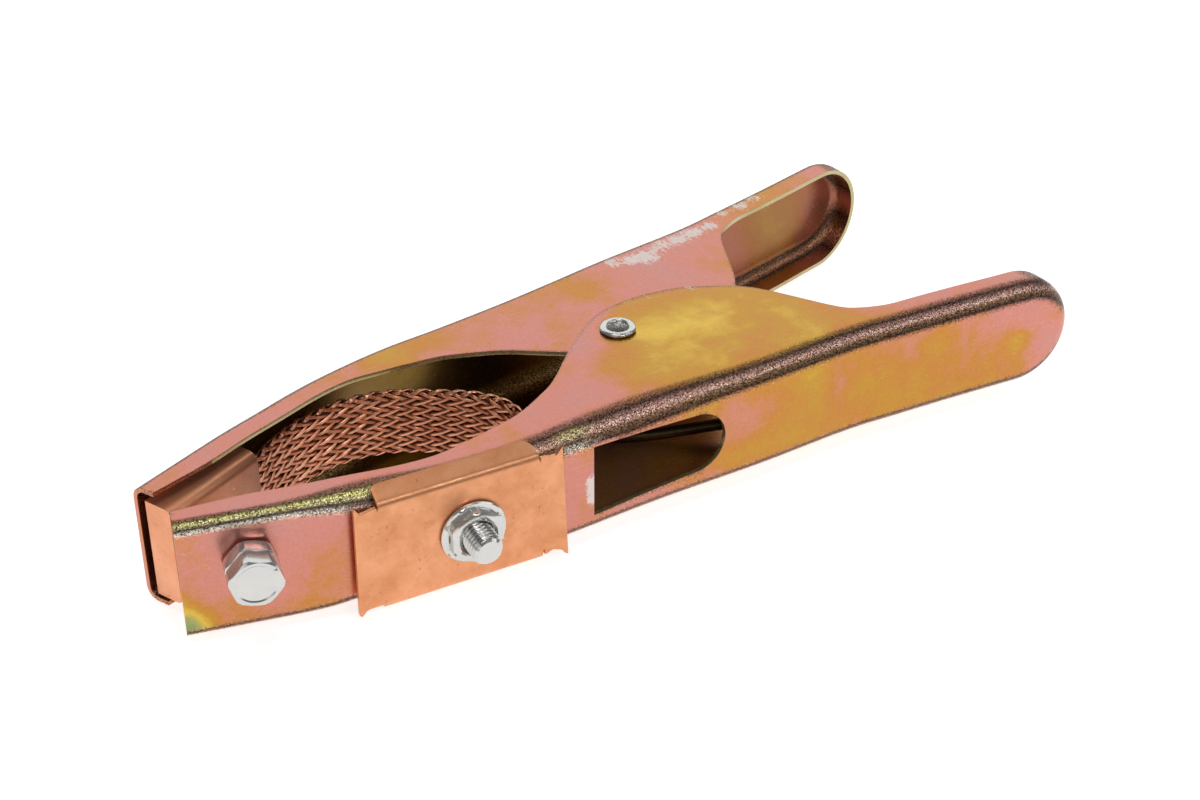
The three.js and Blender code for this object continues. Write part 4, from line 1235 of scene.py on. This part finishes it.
def threaded(name, start, end, chamfer_at_start):
    """A threaded bar along Y, chamfered at one of its ends."""
    rod = bar(name, THREAD_RADIUS, start, end, 40)
    select_edges(rod, lambda a, b: abs(a.y - b.y) > 0.5)
    bpy.ops.mesh.subdivide(number_cuts=int((end - start) / PITCH * 8))
    put_down()
    for vertex in rod.data.vertices:
        x, y, z = vertex.co / MM
        along_ramp = (y / PITCH + math.atan2(z, x) / math.tau) % 1
        ridge = 1 - min(max((abs(along_ramp - 0.5) * 2 - CREST) / FLANKS, 0), 1)
        from_tip = (y - start) if chamfer_at_start else (end - y)
        radius = min(THREAD_RADIUS - THREAD_DEPTH * (1 - ridge), THREAD_RADIUS - 1.0 + from_tip * 0.9)
        scale = radius / math.hypot(x, z) if math.hypot(x, z) > 1e-6 else 1
        vertex.co = Vector((x * scale, y, z * scale)) * MM
    rod.data.update()
    return rod


def bored(piece):
    return cut_with(piece, bar("bore", BORE, -40, 40))


def zinc_plated(piece, edge, segments, angle):
    piece.data.materials.append(ZINC)
    break_edges(piece, edge, segments, angle)
    return smooth(piece, 33)


HEAD, HEAD_THICK, TIP = -9.5, 4.2, 7.471
OVERLAP = 0.2  # how far a shank reaches into its head, so that the two unite
LOCK_NUT, LOCK_THICK, INNER_NUT, INNER_THICK = -5.0, 4.7, 1.5, 4.0


def jaw_bolt():
    bolt = hexagon("jaw_bolt_front", HEAD, HEAD + HEAD_THICK, JAW_FLATS, -JAW_HEX_TURN, 0.98, 0, dish=0.25)
    cut_with(bolt, threaded("shank", HEAD + HEAD_THICK - OVERLAP, TIP, False), "UNION")
    return zinc_plated(bolt, 0.35, 3, 25)


def plain_nut(name, start, thickness):
    nut = bored(hexagon(name, start, start + thickness, JAW_FLATS, -JAW_HEX_TURN))
    return zinc_plated(nut, 0.25, 3, 33)


fitted_pair(jaw_bolt(), JAW_BOLT, "jaw_bolt_front_piece", "jaw_bolt_rear_piece", "jaw_bolt")
for kind, start, thickness in (("lock", LOCK_NUT, LOCK_THICK), ("inner", INNER_NUT, INNER_THICK)):
    fitted_pair(plain_nut(kind, start, thickness), JAW_BOLT, f"{kind}_nut_front", f"{kind}_nut_rear",
                f"jaw_{kind}_nut")

# %% [markdown]
# The cable stud sits square to the saddle. Its nut has a wide flange, a shallow cone that the
# hexagon grows out of. The stud's thread stands free above the nut, so each of its points also
# gets a painted value, which is high in the valleys and makes the zinc darker there.

# %% Cable stud and flange nut
STUD_TIP, STUD_HEAD, STUD_HEAD_THICK = -11.2, 1.8, 4.0
NUT_SEAT, NUT_TOP = -1.6, -5.0
TIP_CHAMFER = 0.9


def cable_stud():
    stud = hexagon("cable_stud_piece", STUD_HEAD, STUD_HEAD + STUD_HEAD_THICK, STUD_FLATS, low_rim=0)
    cut_with(stud, threaded("stud_thread", STUD_TIP, STUD_HEAD + OVERLAP, True), "UNION")
    return zinc_plated(stud, 0.2, 2, 50)


def flange_nut():
    rim = [(0, 0), (8.15, 0), (8.4, 0.2), (8.4, 0.6), (8.15, 0.85), (7.0, 1.05), (0, 1.1)]
    flange = turned("flange", [(radius, NUT_SEAT - up) for radius, up in rim], 72)
    nut = hexagon("flange_nut", NUT_TOP, NUT_SEAT - 0.4, STUD_FLATS, low_rim=0.94, high_rim=0)
    cut_with(nut, flange, "UNION")
    bored(nut)
    sink = [(0, -0.1), (5.1, -0.1), (4.1, 0.9), (0, 0.9)]
    cut_with(nut, turned("countersink", [(radius, NUT_TOP + down) for radius, down in sink]))
    return zinc_plated(nut, 0.25, 3, 33)


def paint_valleys(rod):
    """1 at the bottom of the thread and 0 on its ridges and on the tip."""
    depth = [(THREAD_RADIUS - 0.1 - math.hypot(vertex.co.x, vertex.co.z) / MM) / THREAD_DEPTH
             for vertex in rod.data.vertices]
    on_side = [vertex.co.y / MM > STUD_TIP + TIP_CHAMFER for vertex in rod.data.vertices]
    write_values(rod, "valley", np.clip(depth, 0, 1) * on_side)
    return rod


for piece, node in ((paint_valleys(cable_stud()), "cable_stud"), (flange_nut(), "cable_flange_nut")):
    carry(piece, STUD)
    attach(piece, "front")
    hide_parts(node)
    report(piece)

# %% [markdown]
# ## The pivot rivet
#
# A tube rolled over at both ends. Its whole section is one closed profile, with round heads, spun
# round the pivot axis.

# %% Spin the rivet
SHANK_LOW, SHANK_HIGH = -1.8, 31.8
ROLLED_HEAD = [  # radius, and height over the shank's end: over the round and back into the bore
    (3.8, 0), (4.6, 0), (4.75, 0.2), (4.7, 0.5), (4.45, 0.75), (4.05, 0.88), (3.5, 0.9), (3.1, 0.84),
    (2.85, 0.55), (2.65, 0.05), (2.4, -0.8), (2.2, -2.0),
]


def rivet():
    high = [(radius, SHANK_HIGH + up) for radius, up in ROLLED_HEAD]
    low = [(radius, SHANK_LOW - up) for radius, up in ROLLED_HEAD]
    piece = turned("pivot_rivet_piece", high + low[::-1] + [high[0]], 64)
    piece.data.materials.append(ZINC)
    carry(piece, Matrix.Rotation(math.pi / 2, 4, "X"))
    smooth(piece, 50)
    return carry(piece, placed(0, 0, 0))


pin = rivet()
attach(pin, "front")
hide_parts("pivot_rivet")
report(pin)

# %% [markdown]
# ## The torsion spring
#
# One wire, wound round the rivet, with a straight leg at each end pressing on a handle. A curve with
# a round bevel is how a wire is made in Blender: its points follow the coil and the legs, and it
# becomes a mesh before it is placed.

# %% Wind the spring
WIRE, COIL = 1.6, 7.7  # radii
COIL_START, COIL_TURNED = -120, 2280  # degrees
COIL_LOW, COIL_TALL, COIL_STEPS = 3.1, 23.8, 300
LEG = [(45.69, -35.27, 7.2), (38.26, -30.98, 7.2), (20.92, -20.97, 5.65), (3.58, -10.96, 3.35)]


def spring_route():
    """A leg, the coil and the other leg; a few points of the coil give way to a smooth join."""
    coil = []
    for i in range(COIL_STEPS + 1):
        angle = math.radians(COIL_START - COIL_TURNED * i / COIL_STEPS)
        coil.append(Vector((COIL * math.cos(angle), COIL * math.sin(angle),
                            COIL_LOW + COIL_TALL * i / COIL_STEPS)))
    leg = [Vector(point) for point in LEG]
    far_leg = [Vector((p.x, -p.y, ARM_HEIGHT - LAP - p.z)) for p in leg][::-1]
    first = [Vector(point) for point in smooth_line(leg + [coil[2]], 6)[:-1]]
    last = [Vector(point) for point in smooth_line([coil[-3]] + far_leg, 6)[1:]]
    return first + coil[3:-3] + last


def wound_wire(name, points, radius):
    curve = bpy.data.curves.new(name, "CURVE")
    curve.dimensions = "3D"
    curve.bevel_depth = radius * MM
    curve.bevel_resolution = 4
    curve.use_fill_caps = True
    spline = curve.splines.new("POLY")
    spline.points.add(len(points) - 1)
    for knot, point in zip(spline.points, points):
        knot.co = (*(point * MM), 1)
    take(into_scene(name, curve))
    bpy.ops.object.convert(target="MESH")
    wire = bpy.context.object
    wire.data.uv_layers[0].name = "wire"
    return wire


spring = wound_wire("spring_wire", spring_route(), WIRE)
tidy_mesh(spring)
spring.data.materials.append(SPRING_STEEL)
smooth(spring, 40)
carry(spring, placed(0, 0, 0))
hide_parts("torsion_spring")
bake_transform(spring)
report(spring)

# %% [markdown]
# ## The braid
#
# The strap loops from the rear cup towards the pivot and back to the front cup, standing on its
# edge. Its line is drawn like those of the arms, as shares of the nose length and the web's reach,
# and both its ends run on into the cups. The length along it is measured at each point, so that the
# weave can be laid out evenly.

# %% Route of the strap
BRAID_SHARES = [
    (-0.714, -0.448), (-0.642, -0.563), (-0.547, -0.626), (-0.456, -0.552), (-0.38, -0.371),
    (-0.308, -0.132), (-0.277, 0.103), (-0.284, 0.316), (-0.325, 0.494), (-0.395, 0.592),
    (-0.49, 0.609), (-0.585, 0.555), (-0.676, 0.448),
]
BRAID_MIDDLE, BRAID_WIDE = 15.8, 19.5
IN_CUP = 2.4  # the strap's depth behind the contact's face


def strap_route():
    """The strap's middle line, and the length along it at each of its points."""
    ends = []
    for along in (CUP_LONG - 1.5, CUP_LONG + 2.5):
        spot = CONTACT @ (Vector((along, -IN_CUP, 0)) * MM)
        ends.append(Vector(((spot.x - PIVOT.x) / MM, (spot.y - PIVOT.y) / MM, 0)))
    mirrored = [Vector((p.x, -p.y, 0)) for p in ends]
    line = smooth_line(mirrored + on_drawing(BRAID_SHARES) + [ends[1], ends[0]], 16)[:, :2]
    steps = np.hypot(*np.diff(line, axis=0).T)
    return line, np.concatenate([[0], np.cumsum(steps)])


ROUTE, ROUTE_LENGTH = strap_route()
print("strap length, mm:", round(float(ROUTE_LENGTH[-1]), 1))

# %% [markdown]
# The strap is a tube woven from flat bundles of copper wire and pressed flat. Half of the bundles
# wind one way and half the other, and each passes over two and under two, so the weave is a rule,
# not a texture: a bundle's height over the tube follows a cosine of the crossings it has passed.
# Each bundle is a ribbon with a lens-shaped section of six points, and a UV map across it draws its
# wires. No operator weaves, so this mesh is made from its points. A slow random sway keeps the
# bundles from lying like ruled lines.

# %% Weave it
CARRIERS, LEAN, BUNDLE_WIDE, BUNDLE_THICK = 24, 0.36, 1.02, 0.27
TUBE_HALF, WAVE = 0.7, 0.36
FLAT = BRAID_WIDE - 1.6 - 2 * TUBE_HALF
BEND = math.pi * TUBE_HALF
AROUND_TUBE = 2 * (FLAT + BEND)
GAP = AROUND_TUBE / CARRIERS
STEP = 0.72
LENS = [(-0.5, 0), (-0.28, 1), (0.28, 1), (0.5, 0), (0.28, -1), (-0.28, -1)]


def on_tube(c):
    """The place at c round the flat tube, as (height, out of the middle plane), and its outward direction."""
    c = c % AROUND_TUBE
    side = 1
    if c >= FLAT + BEND:
        c, side = c - FLAT - BEND, -1
    if c < FLAT:
        return (side * (c - FLAT / 2), side * TUBE_HALF), (0, side)
    turn = (c - FLAT) / TUBE_HALF
    out = (side * math.sin(turn), side * math.cos(turn))
    return (side * FLAT / 2 + TUBE_HALF * out[0], TUBE_HALF * out[1]), out


def route_at(s):
    return np.array([np.interp(s, ROUTE_LENGTH, ROUTE[:, k]) for k in (0, 1)])


def bundle_line(index, way, chance):
    """The middle line of one bundle, its outward directions and how far it is sunk below the others."""
    sway, swing = chance.uniform(0, math.tau), chance.uniform(0.08, 0.2)
    points, normals, depths = [], [], []
    total = float(ROUTE_LENGTH[-1])
    count = int(total / STEP)
    for i in range(count + 1):
        s = total * i / count
        c = index * GAP + way * s * LEAN + swing * math.sin(s * 0.16 + sway)
        (up, out), (n_up, n_out) = on_tube(c)
        crossed = (c + way * s * LEAN) / GAP + index
        height = way * WAVE * math.cos(math.pi / 2 * crossed - math.pi / 4)
        x, y = route_at(s)
        ahead = Vector((*(route_at(s + 0.8) - route_at(s - 0.8)), 0)).normalized()
        side = Vector((-ahead.y, ahead.x, 0))
        points.append(Vector((x, y, BRAID_MIDDLE + up + n_up * height)) + side * (out + n_out * height))
        normals.append(Vector((0, 0, n_up)) + side * n_out)
        depths.append(0.5 - 0.5 * height / WAVE)
    return points, normals, depths


def bundle_rings(points, normals):
    """The lens-shaped section, set across the bundle at each of its points."""
    spots = []
    for i, (point, normal) in enumerate(zip(points, normals)):
        along = (points[min(i + 1, len(points) - 1)] - points[max(i - 1, 0)]).normalized()
        out = (normal - along * normal.dot(along)).normalized()
        side = along.cross(out)
        spots += [(point + side * place * BUNDLE_WIDE + out * lift * BUNDLE_THICK) * MM
                  for place, lift in LENS]
    return spots


def bundle_faces(base, count):
    """The skin between the rings and a cap at each end, with each corner's place in the UV map."""
    faces, across = [], []
    for i in range(count - 1):
        for k in range(6):
            a, b = base + i * 6 + k, base + i * 6 + (k + 1) % 6
            faces.append((a, a + 6, b + 6, b))
            u0, u1 = LENS[k][0] + 0.5, LENS[(k + 1) % 6][0] + 0.5
            v0, v1 = i * STEP, (i + 1) * STEP
            across += [(u0, v0), (u0, v1), (u1, v1), (u1, v0)]
    last = base + (count - 1) * 6
    faces += [tuple(base + k for k in range(6)), tuple(last + 5 - k for k in range(6))]
    return faces, across + [(0.5, 0)] * 12


def weave():
    chance = random.Random(4)
    spots, faces, across, tones_and_shades, sunk = [], [], [], [], []
    for way in (1, -1):
        for index in range(CARRIERS):
            points, normals, depths = bundle_line(index, way, chance)
            # a random tone, plus painted shade on the bundles that wind one way
            tone_and_shade = chance.random() * 0.4 + (0.6 if way > 0 else 0.0)
            bundle, corners = bundle_faces(len(spots), len(points))
            spots += bundle_rings(points, normals)
            faces += bundle
            across += corners
            tones_and_shades += [tone_and_shade] * 6 * len(points)
            sunk += [depth for depth in depths for _ in LENS]
    mesh = bpy.data.meshes.new("braid_strap")
    mesh.from_pydata(spots, [], faces)
    mesh.uv_layers.new(name="strand").data.foreach_set("uv", np.array(across, np.float32).ravel())
    piece = into_scene("braid_strap", mesh)
    write_values(piece, "tone_and_shade", tones_and_shades)
    write_values(piece, "sunk", sunk)
    take_all(piece)
    bpy.ops.mesh.normals_make_consistent(inside=False)
    put_down()
    piece.data.materials.append(BRAID_COPPER)
    smooth(piece, 24)
    return carry(piece, placed(0, 0, 0))


strap = weave()
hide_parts("copper_braid")
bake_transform(strap)
report(strap)

# %% [markdown]
# ## Floor, light and camera
#
# The clamp lies on a white table in a plain soft studio. Metal shows what stands round it, so the
# light matters as much as the finish. A broad soft panel behind fills the upper flanges, and six
# smaller ones draw the lines of light on the bends, the nuts and the copper. The webs mirror the
# table, whose mirror image is bright near the clamp and fades away from it, and the dim room beyond
# leaves the dark bands.

# %% Floor and background
MIRRORED_HALF = (0.27, 0.12)  # the table is mirrored at full strength over an ellipse of this half size
ROOM_LIGHT = 0.08


def make_floor():
    clear_bench()
    bpy.ops.mesh.primitive_plane_add(size=6, location=(0, 0, -0.0002))
    floor = call_it("table_top")
    material, tree, shader = new_material("white_table")
    put(tree, shader.inputs["Base Color"], (0.8, 0.8, 0.8))
    put(tree, shader.inputs["Roughness"], 0.9)
    put(tree, shader.inputs["Specular IOR Level"], 0.0)
    ray = add(tree, "LightPath").outputs
    spot = add(tree, "TexCoord").outputs["Object"]
    shares = (1 / MIRRORED_HALF[0], 1 / MIRRORED_HALF[1], 0)
    away = add(tree, "VectorMath", {0: spot, 1: shares}, operation="MULTIPLY").outputs[0]
    reach = add(tree, "VectorMath", {0: away}, operation="LENGTH").outputs["Value"]
    mirrored = times(tree, ray["Is Glossy Ray"], ranged(tree, reach, 1.0, 2.2, 1.0, 0.12))
    through = maths(tree, "MAXIMUM", mirrored, ray["Is Transmission Ray"])
    seen = maths(tree, "MAXIMUM", ray["Is Camera Ray"], through)
    put(tree, shader.inputs["Emission Color"], (1, 1, 1))
    put(tree, shader.inputs["Emission Strength"], times(tree, seen, 0.77))
    floor.data.materials.append(material)


def make_world(strength):
    world = bpy.data.worlds.new("dim_room")
    world.use_nodes = True
    room = world.node_tree.nodes["Background"].inputs
    put(world.node_tree, room["Color"], (1, 1, 1))
    put(world.node_tree, room["Strength"], strength)
    bpy.context.scene.world = world


make_floor()
make_world(ROOM_LIGHT)
print("room light:", ROOM_LIGHT)

# %% [markdown]
# Each panel is an area lamp that faces the clamp from one direction and one distance. Its place is
# written as the azimuth and height at which the clamp sees it, because that is what decides where a
# bend or a nut mirrors it, and its energy follows from its size and the brightness of its face.

# %% Soft panels
MIDDLE = Vector((0.0, 0.0, 0.018))
PANEL_AWAY = 1.2
PANELS = [  # azimuth and height in degrees as seen from the clamp, width, tallness, brightness of the face
    ("panel_behind", 60, 32, 2.4, 1.0, 1.02),
    ("panel_in_front", 268, 40, 0.36, 0.30, 4.6),
    ("panel_at_right", 300, 36, 0.7, 0.22, 1.5),
    ("panel_high", 350, 60, 0.45, 0.36, 1.2),
    ("panel_low_right", 326, 24, 0.36, 0.3, 1.5),
    ("panel_above", 200, 80, 0.6, 0.6, 2.2),
    ("panel_at_left", 215, 15, 0.8, 0.5, 0.8),
]


def soft_panel(name, azimuth, height, wide, tall, brightness):
    a, h = math.radians(azimuth), math.radians(height)
    toward = Vector((math.cos(h) * math.cos(a), math.cos(h) * math.sin(a), math.sin(h)))
    lamp = bpy.data.lights.new(name, "AREA")
    lamp.shape = "RECTANGLE"
    lamp.size, lamp.size_y = wide, tall
    lamp.energy = brightness * math.pi * wide * tall
    facing = toward.to_track_quat("Z", "Y").to_matrix().to_4x4()
    into_scene(name, lamp).matrix_world = Matrix.Translation(MIDDLE + toward * PANEL_AWAY) @ facing


for panel in PANELS:
    soft_panel(*panel)
print("panels:", [panel[0] for panel in PANELS])

# %% [markdown]
# The camera stands where the photograph was taken from. Place, turn and lens were worked out from
# the real clamp's corners in the picture, taking both arms as the same pressing.

# %% Camera
AZIMUTH, ELEVATION, ROLL = math.radians(-35.745), math.radians(33.174), math.radians(-0.145)
CAMERA_AT = (-0.26922, -0.37540, 0.31700)
FOCAL_PIXELS, PHOTO_WIDE, SENSOR_WIDE = 2109.15, 1200, 36


def aim_camera():
    back = Vector((math.sin(AZIMUTH) * math.cos(ELEVATION), -math.cos(AZIMUTH) * math.cos(ELEVATION),
                   math.sin(ELEVATION)))
    right = Vector((math.cos(AZIMUTH), math.sin(AZIMUTH), 0))
    up = back.cross(right)
    rolled_right = right * math.cos(ROLL) + up * math.sin(ROLL)
    rolled_up = up * math.cos(ROLL) - right * math.sin(ROLL)
    data = bpy.data.cameras.new("camera")
    data.sensor_width = SENSOR_WIDE
    data.lens = FOCAL_PIXELS / PHOTO_WIDE * SENSOR_WIDE
    data.clip_start, data.clip_end = 0.01, 20
    camera = into_scene("camera", data)
    turn = Matrix((rolled_right, rolled_up, back)).transposed()
    camera.matrix_world = Matrix.Translation(CAMERA_AT) @ turn.to_4x4()
    bpy.context.scene.camera = camera


aim_camera()
bpy.context.scene.view_settings.view_transform = "Standard"
print("camera to the middle of the clamp, mm:", round((Vector(CAMERA_AT) - MIDDLE).length / MM))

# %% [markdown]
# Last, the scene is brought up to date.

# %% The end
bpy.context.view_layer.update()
